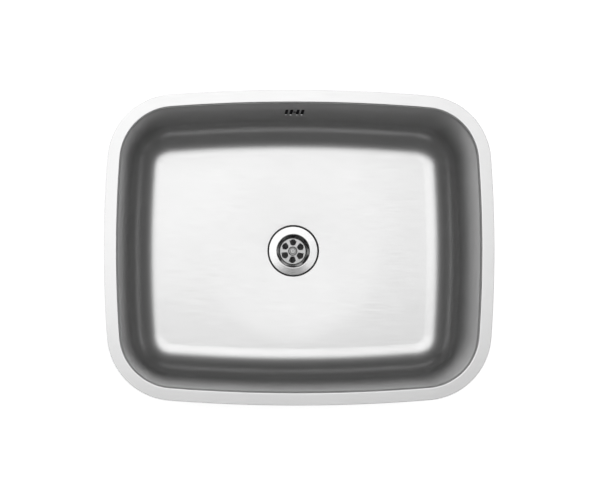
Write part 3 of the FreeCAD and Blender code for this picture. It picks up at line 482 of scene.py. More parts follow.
def satin_steel(settings):
    """Pressed stainless sheet with a satin finish, brushed from left to right."""
    material, tree, shader = new_finish("satin_steel", settings.steel, 1, settings.roughness)
    brushing = place_noise(tree, 90, (0.35, 14, 14), detail=6)
    spread(tree, brushing, shader.inputs["Roughness"],
           settings.roughness - 0.025, settings.roughness + 0.035)
    clouds = place_noise(tree, 9, detail=2)
    tinted(tree, clouds, shader, scaled_tint(settings.steel, 0.97),
           scaled_tint(settings.steel, 1.03))
    raise_bump(tree, brushing, shader, 0.01 * MM, 0.25)
    return material


def polished_steel(name, tint, roughness):
    material, tree, shader = new_finish(name, tint, 1, roughness)
    lines = place_noise(tree, 600, detail=3)
    spread(tree, lines, shader.inputs["Roughness"], roughness - 0.03, roughness + 0.05)
    clouds = place_noise(tree, 60, detail=2)
    tinted(tree, clouds, shader, scaled_tint(tint, 0.95), scaled_tint(tint, 1.04))
    raise_bump(tree, lines, shader, 0.01 * MM, 0.2)
    return material


def painted_shade_below(material, bright_level, shaded_level, factor):
    """Paints shade into a finish's colour: darker towards a lower level, as shade down in a
    recess.
    """
    tree = material.node_tree
    socket = tree.nodes["Principled BSDF"].inputs["Base Color"]
    source = socket.links[0].from_socket
    coordinates = tree.nodes.new("ShaderNodeTexCoord")
    parts = tree.nodes.new("ShaderNodeSeparateXYZ")
    level = tree.nodes.new("ShaderNodeMapRange")
    level.inputs["From Min"].default_value = shaded_level
    level.inputs["From Max"].default_value = bright_level
    level.inputs["To Min"].default_value = factor
    level.inputs["To Max"].default_value = 1
    scaled = tree.nodes.new("ShaderNodeVectorMath")
    scaled.operation = "SCALE"
    tree.links.new(coordinates.outputs["Object"], parts.inputs["Vector"])
    tree.links.new(parts.outputs["Z"], level.inputs["Value"])
    tree.links.new(source, scaled.inputs[0])
    tree.links.new(level.outputs["Result"], scaled.inputs["Scale"])
    tree.links.new(scaled.outputs["Vector"], socket)


def moulded_plastic(name, tint, roughness=0.45, grain=2600):
    """Moulded plastic with a fine spark-eroded grain."""
    material, tree, shader = new_finish(name, tint, 0, roughness)
    grains = place_noise(tree, grain, detail=2)
    raise_bump(tree, grains, shader, 0.05 * MM, 0.5)
    flow = place_noise(tree, 40, (1, 1, 2.5), detail=3)
    spread(tree, flow, shader.inputs["Roughness"], roughness - 0.06, roughness + 0.08)
    tinted(tree, flow, shader, scaled_tint(tint, 0.85), scaled_tint(tint, 1.2))
    return material


def soft_rubber(tint):
    material, tree, shader = new_finish("seal_rubber", tint, 0, 0.7)
    skin = place_noise(tree, 1800, detail=3)
    raise_bump(tree, skin, shader, 0.04 * MM, 0.6)
    dust = place_noise(tree, 90, detail=4)
    spread(tree, dust, shader.inputs["Roughness"], 0.6, 0.85)
    tinted(tree, dust, shader, scaled_tint(tint, 0.8), scaled_tint(tint, 1.7))
    return material


def pad_compound(tint):
    """Sprayed sound-deadening compound: dull, mottled and slightly lumpy."""
    material, tree, shader = new_finish("pad_compound", tint, 0, 0.85)
    lumps = place_noise(tree, 420, detail=5)
    raise_bump(tree, lumps, shader, 0.35 * MM, 0.7)
    mottle = place_noise(tree, 70, detail=5)
    tinted(tree, mottle, shader, scaled_tint(tint, 0.7), scaled_tint(tint, 1.35))
    spread(tree, lumps, shader.inputs["Roughness"], 0.75, 0.95)
    return material


def shared_finish(name, make):
    """A finish that several pieces use is made once."""
    return bpy.data.materials.get(name) or make()


def rubber_finish(context):
    return shared_finish("seal_rubber", lambda: soft_rubber(context.scene.sink_waste.rubber))


def fitting_finish(context):
    return shared_finish("fitting_plastic", lambda: moulded_plastic(
        "fitting_plastic", context.scene.sink_waste.plastic))


def screw_finish(context):
    return shared_finish("screw_steel", lambda: polished_steel(
        "screw_steel", context.scene.sink_waste.screw_steel, 0.26))


# ---------------------------------------------------------------- places shared by the pieces

def recess_edge(bowl):
    return -bowl.depth - bowl.floor_fall


def recess_seat(bowl):
    return recess_edge(bowl) - bowl.recess_depth


def rim_level(bowl, waste):
    return recess_edge(bowl) - waste.rim_drop


def dimple_level(bowl, waste):
    return (rim_level(bowl, waste) - waste.grid_depth + waste.grid_crown
            - waste.dimple_depth)


def body_top(bowl, fitting):
    return recess_seat(bowl) - bowl.gauge - fitting.seal_thickness


def inlet_level(bowl, fitting):
    return body_top(bowl, fitting) - fitting.inlet_drop


def wall_frame(bowl):
    """On the outside of the back wall at the slots: Y out of the wall, Z up along it."""
    out = bowl.mouth_width / 2 + bowl.gauge - bowl.slot_depth * math.tan(bowl.draft)
    return (Matrix.Translation((bowl.slot_centre, out, -bowl.slot_depth))
            @ Matrix.Rotation(-bowl.draft, 4, "X"))


def spigot_face(bowl, overflow):
    return wall_frame(bowl) @ Vector((0, overflow.standoff, -overflow.drop))


def hose_plane(bowl, overflow):
    """Turns the YZ plane to the upright plane through both ends of the hose."""
    face = spigot_face(bowl, overflow)
    return Matrix.Rotation(-math.atan2(face.x, face.y), 4, "Z")


def upper_joint(bowl, overflow):
    """At the housing's spigot face: Z out of it, towards the hose."""
    return (Matrix.Translation(spigot_face(bowl, overflow))
            @ Matrix.Rotation(-bowl.draft, 4, "X") @ Matrix.Rotation(math.pi, 4, "X"))


def lower_joint(bowl, overflow, fitting):
    """At the waste body's inlet face: Z out of it, towards the hose."""
    return (hose_plane(bowl, overflow)
            @ Matrix.Translation((0, fitting.inlet_reach, inlet_level(bowl, fitting)))
            @ Matrix.Rotation(-math.pi / 2, 4, "X"))


def floor_level_at(bowl, radius):
    """The dished floor: flat outside the dish, then falling to the recess."""
    run = max(0.0, (bowl.dish_radius - radius) / (bowl.dish_radius - bowl.recess_radius))
    ease = 0.25
    fall = run * run / (2 * ease) if run < ease else run - ease / 2
    return -bowl.depth - bowl.floor_fall * fall / (1 - ease / 2)


# ---------------------------------------------------------------- bowl

SIDE_STEPS = 26
CORNER_STEPS = 26


def mouth_places(bowl):
    """Round the mouth: the centre, radius and outward direction of each point's arc."""
    side_x = bowl.mouth_length / 2 - bowl.side_bow
    front_y = bowl.mouth_width / 2 - bowl.front_bow
    reach_side, reach_front = bowl.side_bow - bowl.corner, bowl.front_bow - bowl.corner
    span = math.hypot(side_x, front_y)
    along = (reach_side ** 2 - reach_front ** 2 + span ** 2) / (2 * span)
    off = math.sqrt(reach_side ** 2 - along ** 2)
    unit = Vector((-side_x, front_y)) / span
    centre = Vector((side_x, 0)) + unit * along + Vector((-unit.y, unit.x)) * off
    start = math.atan2(centre.y, centre.x - side_x)
    end = math.atan2(centre.y - front_y, centre.x)
    half = math.pi
    arcs = [
        (side_x, 0, bowl.side_bow, -start, start, SIDE_STEPS),
        (centre.x, centre.y, bowl.corner, start, end, CORNER_STEPS),
        (0, front_y, bowl.front_bow, end, half - end, SIDE_STEPS),
        (-centre.x, centre.y, bowl.corner, half - end, half - start, CORNER_STEPS),
        (-side_x, 0, bowl.side_bow, half - start, half + start, SIDE_STEPS),
        (-centre.x, -centre.y, bowl.corner, half + start, half + end, CORNER_STEPS),
        (0, -front_y, bowl.front_bow, half + end, 2 * half - end, SIDE_STEPS),
        (centre.x, -centre.y, bowl.corner, 2 * half - end, 2 * half - start, CORNER_STEPS),
    ]
    places = []
    for x, y, radius, first, last, steps in arcs:
        for step in range(steps):
            turn = first + (last - first) * step / steps
            places.append((Vector((x, y)), radius, Vector((math.cos(turn), math.sin(turn)))))
    return places


def next_ring(bm, ring, places):
    """Extrudes a ring of edges and puts the new vertices in their places."""
    edges = [bm.edges.get((vert, ring[(index + 1) % len(ring)]))
             for index, vert in enumerate(ring)]
    made = bmesh.ops.extrude_edge_only(bm, edges=edges)
    fresh = {item for item in made["geom"] if isinstance(item, bmesh.types.BMVert)}
    grown = []
    for vert, place in zip(ring, places):
        twin = next(edge.other_vert(vert) for edge in vert.link_edges
                    if edge.other_vert(vert) in fresh)
        twin.co = place
        grown.append(twin)
    return grown


def wall_profile(bowl):
    """Across and level from the flange's edge to the flat floor, measured from the mouth.

    The flange has a point near each end, so that its flat face stays evenly shaded, and the
    neck under it leans more than the wall.
    """
    run = bowl.depth * math.tan(bowl.draft)
    foot = bowl.floor_round * math.tan((math.pi / 2 - bowl.draft) / 2)
    neck_top = bowl.neck_offset
    neck_foot = neck_top - bowl.neck_depth * math.tan(bowl.neck_lean)
    corners = [
        (bowl.flange_width, 0, 0),
        (bowl.flange_width - 0.6 * MM, 0, 0),
        (neck_top + bowl.mouth_bend, 0, 0),
        (neck_top, 0, bowl.mouth_bend),
        (neck_foot, -bowl.neck_depth, bowl.neck_round),
        (-run, -bowl.depth, bowl.floor_round),
        (-run - foot - 1.6 * MM, -bowl.depth, 0),
    ]
    scratch = bmesh.new()
    chain = [vert.co.copy() for vert in in_order(draw_chain(scratch, corners))]
    scratch.free()
    wall = []
    for here, onward in zip(chain, chain[1:]):
        wall.append(here)
        gap = (onward - here).length
        if gap > 20 * MM:
            steps = math.ceil(gap / (14 * MM))
            wall += [here.lerp(onward, step / steps) for step in range(1, steps)]
    wall.append(chain[-1])
    return [(point.x, point.z) for point in wall]


def floor_rings(bowl):
    """Radius and level of the round rings from the dish's edge to the waste hole."""
    rings = [(bowl.dish_radius, -bowl.depth)]
    inner = bowl.recess_radius + 1.2 * MM
    for step in range(1, 15):
        radius = bowl.dish_radius + (inner - bowl.dish_radius) * step / 14
        rings.append((radius, floor_level_at(bowl, radius)))
    scratch = bmesh.new()
    edge, seat = recess_edge(bowl), recess_seat(bowl)
    chain = in_order(draw_chain(scratch, [
        (inner + 0.5 * MM, edge, 0),
        (bowl.recess_radius, edge, 0.7 * MM),
        (bowl.recess_radius - bowl.recess_taper, seat, 1.2 * MM),
        (bowl.waste_hole, seat, 0),
    ]))
    rings += [(vert.co.x, vert.co.z) for vert in chain[1:]]
    scratch.free()
    return rings


class SINK_OT_bowl(bpy.types.Operator):
    """Press the bowl from one sheet: flange, walls, floor, recess and overflow slots"""
    bl_idname = "sink.bowl"
    bl_label = "Bowl"

    def execute(self, context):
        bowl = context.scene.sink_bowl
        places = mouth_places(bowl)
        bm = bmesh.new()
        ring = bmesh.ops.create_circle(bm, segments=len(places), radius=1)["verts"]
        profile = wall_profile(bowl)

        def wall_ring(across, level):
            rows = []
            for centre, radius, out in places:
                spot = centre + out * (radius + across)
                rows.append(Vector((spot.x, spot.y, level)))
            return rows

        for vert, place in zip(ring, wall_ring(*profile[0])):
            vert.co = place
        for across, level in profile[1:]:
            ring = next_ring(bm, ring, wall_ring(across, level))
        edge_of_floor = [vert.co.copy() for vert in ring]
        headings = [Vector((spot.x, spot.y, 0)).normalized() for spot in edge_of_floor]
        rings = floor_rings(bowl)
        for step in (0.35, 0.7):
            outer = [spot.lerp(heading * rings[0][0] + Vector((0, 0, -bowl.depth)), step)
                     for spot, heading in zip(edge_of_floor, headings)]
            ring = next_ring(bm, ring, outer)
        for radius, level in rings:
            ring = next_ring(bm, ring, [heading * radius + Vector((0, 0, level))
                                        for heading in headings])
        bmesh.ops.recalc_face_normals(bm, faces=bm.faces[:])
        bm.faces.ensure_lookup_table()
        if sum(face.normal.z for face in bm.faces) < 0:
            bmesh.ops.reverse_faces(bm, faces=bm.faces[:])
        sheet = raw_object(bm, "bowl_sheet")
        thick = sheet.modifiers.new("gauge", "SOLIDIFY")
        thick.thickness = bowl.gauge
        thick.offset = -1
        thick.use_even_offset = True
        settle(sheet)

        cutters = []
        inner = (bowl.slot_land + bowl.slot_width) / 2
        in_wall = bowl.mouth_width / 2 - 5 * MM
        through = 40 * MM
        for centre in (-inner - bowl.slot_pitch, -inner, inner, inner + bowl.slot_pitch):
            cutters.append(raw_object(block(
                bowl.slot_width, through, bowl.slot_height,
                (bowl.slot_centre + centre, in_wall, -bowl.slot_depth),
                corner=bowl.slot_corner, axis=1, steps=5)))
        above_slots = Matrix.Translation(
            (bowl.slot_centre, in_wall, bowl.screw_rise - bowl.slot_depth))
        hole = placed(rod(bowl.screw_hole, -through / 2, through / 2, 32),
                      above_slots @ Matrix.Rotation(math.pi / 2, 4, "X"))
        cutters.append(raw_object(hole))
        combine(sheet, cutters, "DIFFERENCE")
        soften(sheet, bowl.edge_round, limit=50)
        finish_piece(sheet, "bowl_steel_sheet", satin_steel(bowl), "bowl_steel", "bowl",
                     sharp=50)
        return {"FINISHED"}


# ---------------------------------------------------------------- waste

class SINK_OT_strainer(bpy.types.Operator):
    """Turn the strainer flange with its plug seat and its grid"""
    bl_idname = "sink.strainer"
    bl_label = "Strainer"

    def execute(self, context):
        bowl, waste = context.scene.sink_bowl, context.scene.sink_waste
        top = rim_level(bowl, waste)
        inner = waste.rim_radius - waste.rim_width
        slope = waste.crown / (waste.rim_radius - waste.neck)
        grid = top - waste.grid_depth
        crown = grid + waste.grid_crown
        seat = dimple_level(bowl, waste)
        sheet = waste.sheet
        neck_out = waste.neck + 0.8 * MM
        bore = waste.screw_radius + 0.3 * MM
        corners = [
            (bore, seat - sheet, 0),
            (waste.dimple_seat + 0.6 * MM, seat - sheet, 0.8 * MM),
            (waste.dimple_radius + 0.5 * MM, crown - sheet, 0.4 * MM),
            (waste.grid_radius + sheet, grid - sheet, 2.2 * MM),
            (neck_out, top + (waste.rim_radius - neck_out) * slope - sheet, 0.6 * MM),
            (inner, top + waste.rim_width * slope - sheet, 0.5 * MM),
            (inner, top - waste.rim_height, 0.2 * MM),
            (waste.rim_radius, top - waste.rim_height, 0.3 * MM),
            (waste.rim_radius, top, 0.8 * MM),
            (waste.neck, top + waste.crown, 1.6 * MM),
            (waste.grid_radius, grid, 1.2 * MM),
            (waste.dimple_radius, crown, 0.8 * MM),
            (waste.dimple_seat, seat, 0.5 * MM),
            (bore, seat, 0),
        ]
        strainer = raw_object(turned(corners, 160, hold=0.35 * MM), "strainer")
        holes = []
        lean = math.atan2(waste.grid_crown, waste.grid_radius - waste.dimple_radius)
        level = grid + (waste.grid_radius - waste.hole_circle) * math.tan(lean)
        for index in range(waste.hole_count):
            turn = FULL_TURN * index / waste.hole_count + math.pi / 2
            spot = (Matrix.Rotation(turn, 4, "Z")
                    @ Matrix.Translation((waste.hole_circle, 0, level))
                    @ Matrix.Rotation(lean, 4, "Y"))
            holes.append(raw_object(placed(rod(waste.hole_radius, -4 * MM, 3 * MM, 64,
                                               below=-sheet, above=0), spot)))
        combine(strainer, holes, "DIFFERENCE")
        strainer.data.transform(Matrix.Rotation(waste.grid_turn, 4, "Z"))
        finish = polished_steel("strainer_steel", waste.steel, waste.roughness)
        # painted shade: the grid down in the drain gets a darker base colour than the flange
        painted_shade_below(finish, top - 5 * MM, grid + 2 * MM, waste.grid_shade)
        finish_piece(strainer, "strainer_flange_and_grid", finish, "strainer_steel",
                     "waste_strainer", sharp=50)
        return {"FINISHED"}


def socket_screw(radius, span, head_radius, head_height, pitch, socket, socket_depth):
    """A screw with a domed head and a hexagon socket; its seat is at zero, the tip below."""
    core = radius - pitch * 0.32
    screw = raw_object(turned([
        (0, -span, 0),
        (core - 0.3 * radius, -span, 0),
        (core, -span + 0.3 * radius, 0),
        (core, 0, 0),
        (head_radius, 0, 0.15 * head_height),
        (head_radius, head_height * 0.5, 0.35 * head_height),
        (head_radius * 0.74, head_height, 0.5 * head_height),
        (0, head_height, 0),
    ], 64, closed=False), "screw")
    eased = turned([
        (0, head_height - 0.25 * socket, 0),
        (socket * 0.85, head_height - 0.25 * socket, 0),
        (socket * 1.2, head_height + 0.1 * socket, 0),
        (0, head_height + 0.1 * socket, 0),
    ], 64, closed=False)
    hexagon = turned([
        (0, head_height - socket_depth - 0.6 * socket, 0),
        (socket, head_height - socket_depth, 0),
        (socket, head_height * 1.5, 0),
        (0, head_height * 1.5, 0),
    ], 6, closed=False)
    combine(screw, [raw_object(eased), raw_object(hexagon)], "DIFFERENCE")
    ridge = raw_object(helical_ridge(core, radius, pitch, -span + 0.3 * radius, -0.6 * MM, 32))
    joined = bmesh.new()
    for piece in (screw, ridge):
        joined.from_mesh(piece.data)
        bpy.data.objects.remove(piece)
    return joined


class SINK_OT_screws(bpy.types.Operator):
    """Turn the waste screw and the overflow screw"""
    bl_idname = "sink.screws"
    bl_label = "Screws"

    def execute(self, context):
        bowl, waste = context.scene.sink_bowl, context.scene.sink_waste
        overflow = context.scene.sink_overflow
        finish = screw_finish(context)
        seat = dimple_level(bowl, waste)
        screw = socket_screw(waste.screw_radius, waste.screw_length, waste.head_radius,
                             waste.head_height, 1.0 * MM, waste.socket, waste.socket_depth)
        placed(screw, Matrix.Translation((0, 0, seat)) @ Matrix.Rotation(0.5, 4, "Z"))
        finish_piece(raw_object(screw), "waste_centre_screw", finish, "screw_steel",
                     "waste_screw")
        screw = socket_screw(overflow.screw_radius, overflow.screw_length,
                             overflow.head_radius, overflow.head_height, 0.7 * MM,
                             overflow.socket, overflow.head_height * 0.6)
        inner_face = -bowl.gauge * math.cos(bowl.draft)
        placed(screw, wall_frame(bowl)
               @ Matrix.Translation((0, inner_face, bowl.screw_rise))
               @ Matrix.Rotation(math.pi / 2, 4, "X") @ Matrix.Rotation(0.3, 4, "Z"))
        dark = polished_steel("screw_dark", overflow.dark_steel, 0.38)
        finish_piece(raw_object(screw), "overflow_cover_screw", dark, "screw_dark",
                     "overflow_screw")
        return {"FINISHED"}


class SINK_OT_waste_body(bpy.types.Operator):
    """Mould the waste body: flange, chamber, funnel, threaded outlet, inlet and boss"""
    bl_idname = "sink.waste_body"
    bl_label = "Waste body"

    def execute(self, context):
        bowl, waste = context.scene.sink_bowl, context.scene.sink_waste
        fitting, hose = context.scene.sink_fitting, context.scene.sink_hose
        overflow = context.scene.sink_overflow
        top = body_top(bowl, fitting)
        foot = top - fitting.chamber_depth
        outlet_top = foot - fitting.funnel
        outlet_foot = outlet_top - fitting.outlet_length
        flange_foot = top - fitting.flange_thickness
        outer = fitting.bore + fitting.wall
        core = fitting.outlet_radius - 1.1 * MM
        shell = raw_object(turned([
            (0, outlet_foot, 0),
            (core, outlet_foot, 0.5 * MM),
            (core, outlet_top - 1.2 * MM, 0.6 * MM),
            (fitting.outlet_radius, outlet_top, 0.4 * MM),
            (outer, foot, 2.5 * MM),
            (outer, flange_foot, 1.5 * MM),
            (fitting.flange_radius, flange_foot, 0.7 * MM),
            (fitting.flange_radius, top, 0.3 * MM),
            (0, top, 0),
        ], 128, closed=False), "waste_body")
        level = inlet_level(bowl, fitting)
        along_y = Matrix.Translation((0, 0, level)) @ Matrix.Rotation(-math.pi / 2, 4, "X")
        spigot_core = fitting.spigot_radius - 0.8 * MM
        collar = fitting.inlet_reach - 13 * MM
        spigot = turned([
            (0, 0, 0),
            (fitting.spigot_radius, 0, 0),
            (fitting.spigot_radius, collar, 0.5 * MM),
            (spigot_core, collar + 0.8 * MM, 0.3 * MM),
            (spigot_core, fitting.inlet_reach, 0.5 * MM),
            (0, fitting.inlet_reach, 0),
        ], 64, closed=False)
        combine(shell, [raw_object(placed(spigot, along_y))], "UNION")
        edge, proud = 0.5 * MM, 0.02 * MM
        inside = turned([
            (0, outlet_foot - 5 * MM, 0),
            (fitting.outlet_bore + 2 * edge, outlet_foot - 5 * MM, 0),
            (fitting.outlet_bore + 2 * edge, outlet_foot - proud, 0),
            (fitting.outlet_bore, outlet_foot - proud, edge),
            (fitting.outlet_bore, outlet_top, 3 * MM),
            (fitting.bore, foot, 2 * MM),
            (fitting.bore, top + proud, edge),
            (fitting.bore + 2 * edge, top + proud, 0),
            (fitting.bore + 2 * edge, top + 5 * MM, 0),
            (0, top + 5 * MM, 0),
        ], 128, closed=False)
        way_in = placed(rod(hose.bore, 15 * MM, 60 * MM), along_y)
        socket = placed(rod(hose.crest + fitting.clearance,
                            fitting.inlet_reach - fitting.socket_depth - fitting.clearance,
                            60 * MM, 64, above=fitting.inlet_reach, ease=edge), along_y)
        combine(shell, [raw_object(inside), raw_object(way_in), raw_object(socket)],
                "DIFFERENCE")
        boss_top = top - fitting.boss_drop
        boss_foot = boss_top - fitting.boss_length
        boss_radius = fitting.insert_radius + fitting.boss_wall
        middle = (boss_top + boss_foot) / 2
        added = []
        reach = fitting.bore + fitting.wall / 2
        for index in range(fitting.web_count):
            web = block(fitting.web_width, reach, fitting.boss_length,
                        (0, -reach / 2, middle), corner=edge, axis=1, steps=3)
            turn = FULL_TURN * index / fitting.web_count
            added.append(raw_object(placed(web, Matrix.Rotation(turn, 4, "Z"))))
        added.append(raw_object(turned([
            (0, boss_foot, 0), (boss_radius, boss_foot, edge),
            (boss_radius, boss_top, edge), (0, boss_top, 0)], 64, closed=False)))
        combine(shell, added, "UNION")
        seat = rod(fitting.insert_radius + fitting.fit, boss_top - fitting.insert_length,
                   boss_top + 5 * MM, above=boss_top)
        bore = rod(waste.screw_radius + fitting.clearance, boss_foot - 5 * MM,
                   boss_top + 5 * MM, below=boss_foot)
        combine(shell, [raw_object(seat), raw_object(bore)], "DIFFERENCE")
        threads = bmesh.new()
        threads.from_mesh(shell.data)
        bpy.data.objects.remove(shell)
        ridges = [
            helical_ridge(core, fitting.outlet_radius, fitting.thread_pitch,
                          outlet_foot + 0.4 * MM, outlet_top - 0.8 * MM, 96),
            placed(helical_ridge(spigot_core, fitting.spigot_radius, fitting.spigot_pitch,
                                 collar + 0.8 * MM, fitting.inlet_reach - 0.4 * MM), along_y),
        ]
        for ridge in ridges:
            piece = raw_object(ridge)
            threads.from_mesh(piece.data)
            bpy.data.objects.remove(piece)
        placed(threads, hose_plane(bowl, overflow))
        finish_piece(raw_object(threads), "waste_chamber_moulding", fitting_finish(context),
                     "fitting_plastic", "waste_body", sharp=40)
        return {"FINISHED"}


class SINK_OT_seals(bpy.types.Operator):
    """Make the rubber seals and the brass insert of the waste"""
    bl_idname = "sink.seals"
    bl_label = "Seals and insert"

    def execute(self, context):
        bowl, waste = context.scene.sink_bowl, context.scene.sink_waste
        fitting, hose = context.scene.sink_fitting, context.scene.sink_hose
        overflow = context.scene.sink_overflow
        rubber = rubber_finish(context)
        top, seat = rim_level(bowl, waste), recess_seat(bowl)
        ring = turned([
            (fitting.seal_inner, seat, 0.4 * MM),
            (waste.rim_radius - 0.1 * MM, seat, 0.4 * MM),
            (waste.rim_radius - 0.1 * MM, top - waste.rim_height, 0.5 * MM),
            (fitting.seal_inner, top - waste.rim_height, 0.5 * MM),
        ], 128)
        finish_piece(raw_object(ring), "strainer_flange_seal", rubber, "seal_rubber",
                     "strainer_seal")
        upper, lower = seat - bowl.gauge, body_top(bowl, fitting)
        ring = turned([
            (fitting.seal_inner, lower, 0.4 * MM),
            (fitting.flange_radius, lower, 0.6 * MM),
            (fitting.flange_radius, upper, 0.6 * MM),
            (fitting.seal_inner, upper, 0.4 * MM),
        ], 128)
        finish_piece(raw_object(ring), "body_flange_seal", rubber, "seal_rubber",
                     "waste_body_seal")
        high = lower - fitting.boss_drop
        bore = waste.screw_radius + fitting.fit
        insert = turned([
            (bore, high - fitting.insert_length, 0.2 * MM),
            (fitting.insert_radius, high - fitting.insert_length, 0.4 * MM),
            (fitting.insert_radius, high - fitting.insert_length * 0.62, 0.2 * MM),
            (fitting.insert_radius - 0.5 * MM, high - fitting.insert_length * 0.57, 0.2 * MM),
            (fitting.insert_radius - 0.5 * MM, high - fitting.insert_length * 0.43, 0.2 * MM),
            (fitting.insert_radius, high - fitting.insert_length * 0.38, 0.2 * MM),
            (fitting.insert_radius, high, 0.4 * MM),
            (bore, high, 0.4 * MM),
        ], 72)
        brass = polished_steel("insert_brass", waste.brass, 0.28)
        finish_piece(raw_object(insert), "boss_thread_insert", brass, "insert_brass",
                     "waste_insert")
        inner = hose.crest + fitting.fit
        outer = fitting.spigot_radius - fitting.clearance
        span = fitting.hose_seal
        for name, node, joint in (
                ("hose_joint_seal_upper", "hose_seal_upper", upper_joint(bowl, overflow)),
                ("hose_joint_seal_lower", "hose_seal_lower",
                 lower_joint(bowl, overflow, fitting))):
            ring = turned([
                (inner, 0, 0.2 * MM), (outer - span / 4, 0, 0.4 * MM),
                (outer, span / 4, 0.4 * MM), (outer, span, 0.3 * MM), (inner, span, 0.2 * MM),
            ], 72)
            finish_piece(raw_object(placed(ring, joint)), name, rubber, "seal_rubber", node)
        return {"FINISHED"}


# ---------------------------------------------------------------- overflow

class SINK_OT_overflow(bpy.types.Operator):
    """Mould the overflow housing and cut its seal"""
    bl_idname = "sink.overflow"
    bl_label = "Overflow housing"

    def execute(self, context):
        bowl, fitting = context.scene.sink_bowl, context.scene.sink_fitting
        overflow, hose = context.scene.sink_overflow, context.scene.sink_hose
        wall, front = overflow.wall, overflow.seal
        to_wall = wall_frame(bowl)
        shell_mesh = block(overflow.width, overflow.depth, overflow.height,
                           (0, front + overflow.depth / 2, 0), corner=overflow.corner,
                           axis=1, steps=12)
        back = front + overflow.depth
        rim = [edge for edge in shell_mesh.edges
               if all(abs(vert.co.y - back) < 0.01 * MM for vert in edge.verts)]
        bmesh.ops.bevel(shell_mesh, geom=rim, affect="EDGES", offset_type="OFFSET",
                        offset=overflow.edge, segments=7, profile=0.5, material=-1)
        shell = raw_object(shell_mesh, "housing")
        spigot_core = fitting.spigot_radius - 0.8 * MM
        cavity_half = overflow.height / 2 - wall
        spigot_top = cavity_half - hose.bore
        face = -overflow.drop
        shift = Matrix.Translation((0, overflow.standoff, 0))
        spigot = turned([
            (0, face, 0),
            (spigot_core, face, 0.5 * MM),
            (spigot_core, face + 12 * MM, 0.3 * MM),
            (fitting.spigot_radius, face + 12.8 * MM, 0.4 * MM),
            (fitting.spigot_radius, wall - spigot_top, 1.2 * MM),
            (0, wall - spigot_top, 0),
        ], 64, closed=False)
        combine(shell, [raw_object(placed(spigot, shift))], "UNION")
        cavity = block(overflow.width - 2 * wall, overflow.depth - wall + 5 * MM,
                       overflow.height - 2 * wall,
                       (0, front + (overflow.depth - wall - 5 * MM) / 2, 0),
                       corner=overflow.corner - wall, axis=1, steps=12)
        bore = placed(rod(hose.bore, face - 5 * MM, -spigot_top), shift)
        socket = placed(rod(hose.crest + fitting.clearance, face - 5 * MM,
                            face + fitting.socket_depth + fitting.clearance, 64,
                            below=face, ease=0.5 * MM), shift)
        combine(shell, [raw_object(cavity), raw_object(bore), raw_object(socket)],
                "DIFFERENCE")
        to_post = (Matrix.Translation((0, 0, bowl.screw_rise))
                   @ Matrix.Rotation(-math.pi / 2, 4, "X"))
        post = placed(rod(overflow.post_radius, fitting.clearance, back - wall / 2), to_post)
        combine(shell, [raw_object(post)], "UNION")
        hole = placed(rod(overflow.screw_radius + fitting.fit, -2 * MM,
                          fitting.clearance + overflow.screw_length, 32,
                          below=fitting.clearance), to_post)
        combine(shell, [raw_object(hole)], "DIFFERENCE")
        whole = bmesh.new()
        whole.from_mesh(shell.data)
        bpy.data.objects.remove(shell)
        ridge = raw_object(placed(helical_ridge(
            spigot_core, fitting.spigot_radius, fitting.spigot_pitch, face + 0.4 * MM,
            face + 12 * MM), shift))
        whole.from_mesh(ridge.data)
        bpy.data.objects.remove(ridge)
        finish_piece(raw_object(placed(whole, to_wall)), "overflow_cover_moulding",
                     fitting_finish(context), "fitting_plastic", "overflow_housing", sharp=40)

        seal = raw_object(block(overflow.width, front, overflow.height, (0, front / 2, 0),
                                corner=overflow.corner, axis=1, steps=12), "seal")
        opening = block(overflow.width - 2 * wall, 4 * front, overflow.height - 2 * wall,
                        (0, front / 2, 0), corner=overflow.corner - wall, axis=1, steps=12)
        combine(seal, [raw_object(opening)], "DIFFERENCE")
        soften(seal, 0.4 * MM, limit=50, segments=3)
        seal.data.transform(to_wall)
        finish_piece(seal, "overflow_wall_seal", rubber_finish(context), "seal_rubber",
                     "overflow_seal")
        return {"FINISHED"}


# ---------------------------------------------------------------- hose and nuts

RIB = ((0.00, 0.92), (0.06, 0.50), (0.13, 0.08), (0.27, 0.0), (0.41, 0.08), (0.48, 0.50),
       (0.55, 0.92), (0.64, 1.0), (0.86, 1.0))


def hose_line(bowl, overflow, fitting, hose):
    """The hose's centre line in the YZ plane: both ends and the points where the bend starts
    and stops.
    """
    up = Vector((0, math.sin(bowl.draft), math.cos(bowl.draft)))
    face = spigot_face(bowl, overflow)
    face = Vector((0, math.hypot(face.x, face.y), face.z))
    start = Vector((0, fitting.inlet_reach - fitting.socket_depth,
                    inlet_level(bowl, fitting)))
    corner = face - up * ((face.z - start.z) / up.z)
    end = face + up * fitting.socket_depth
    trim = hose.bend * math.tan((math.pi / 2 - bowl.draft) / 2)
    first = corner - Vector((0, trim, 0))
    last = corner + up * trim
    return start, first, last, end


def along_hose(line, bend, distance):
    """Place and direction on the centre line at a distance from its start."""
    start, first, last, end = line
    run = (first - start).length
    turn = math.pi / 2 - math.atan2((end - last).y, (end - last).z)
    arc = bend * turn
    if distance <= run:
        return start + Vector((0, distance, 0)), Vector((0, 1, 0))
    if distance <= run + arc:
        swing = (distance - run) / bend
        centre = first + Vector((0, 0, bend))
        place = centre + Vector((0, math.sin(swing), -math.cos(swing))) * bend
        return place, Vector((0, math.cos(swing), math.sin(swing)))
    heading = (end - last).normalized()
    return last + heading * (distance - run - arc), heading


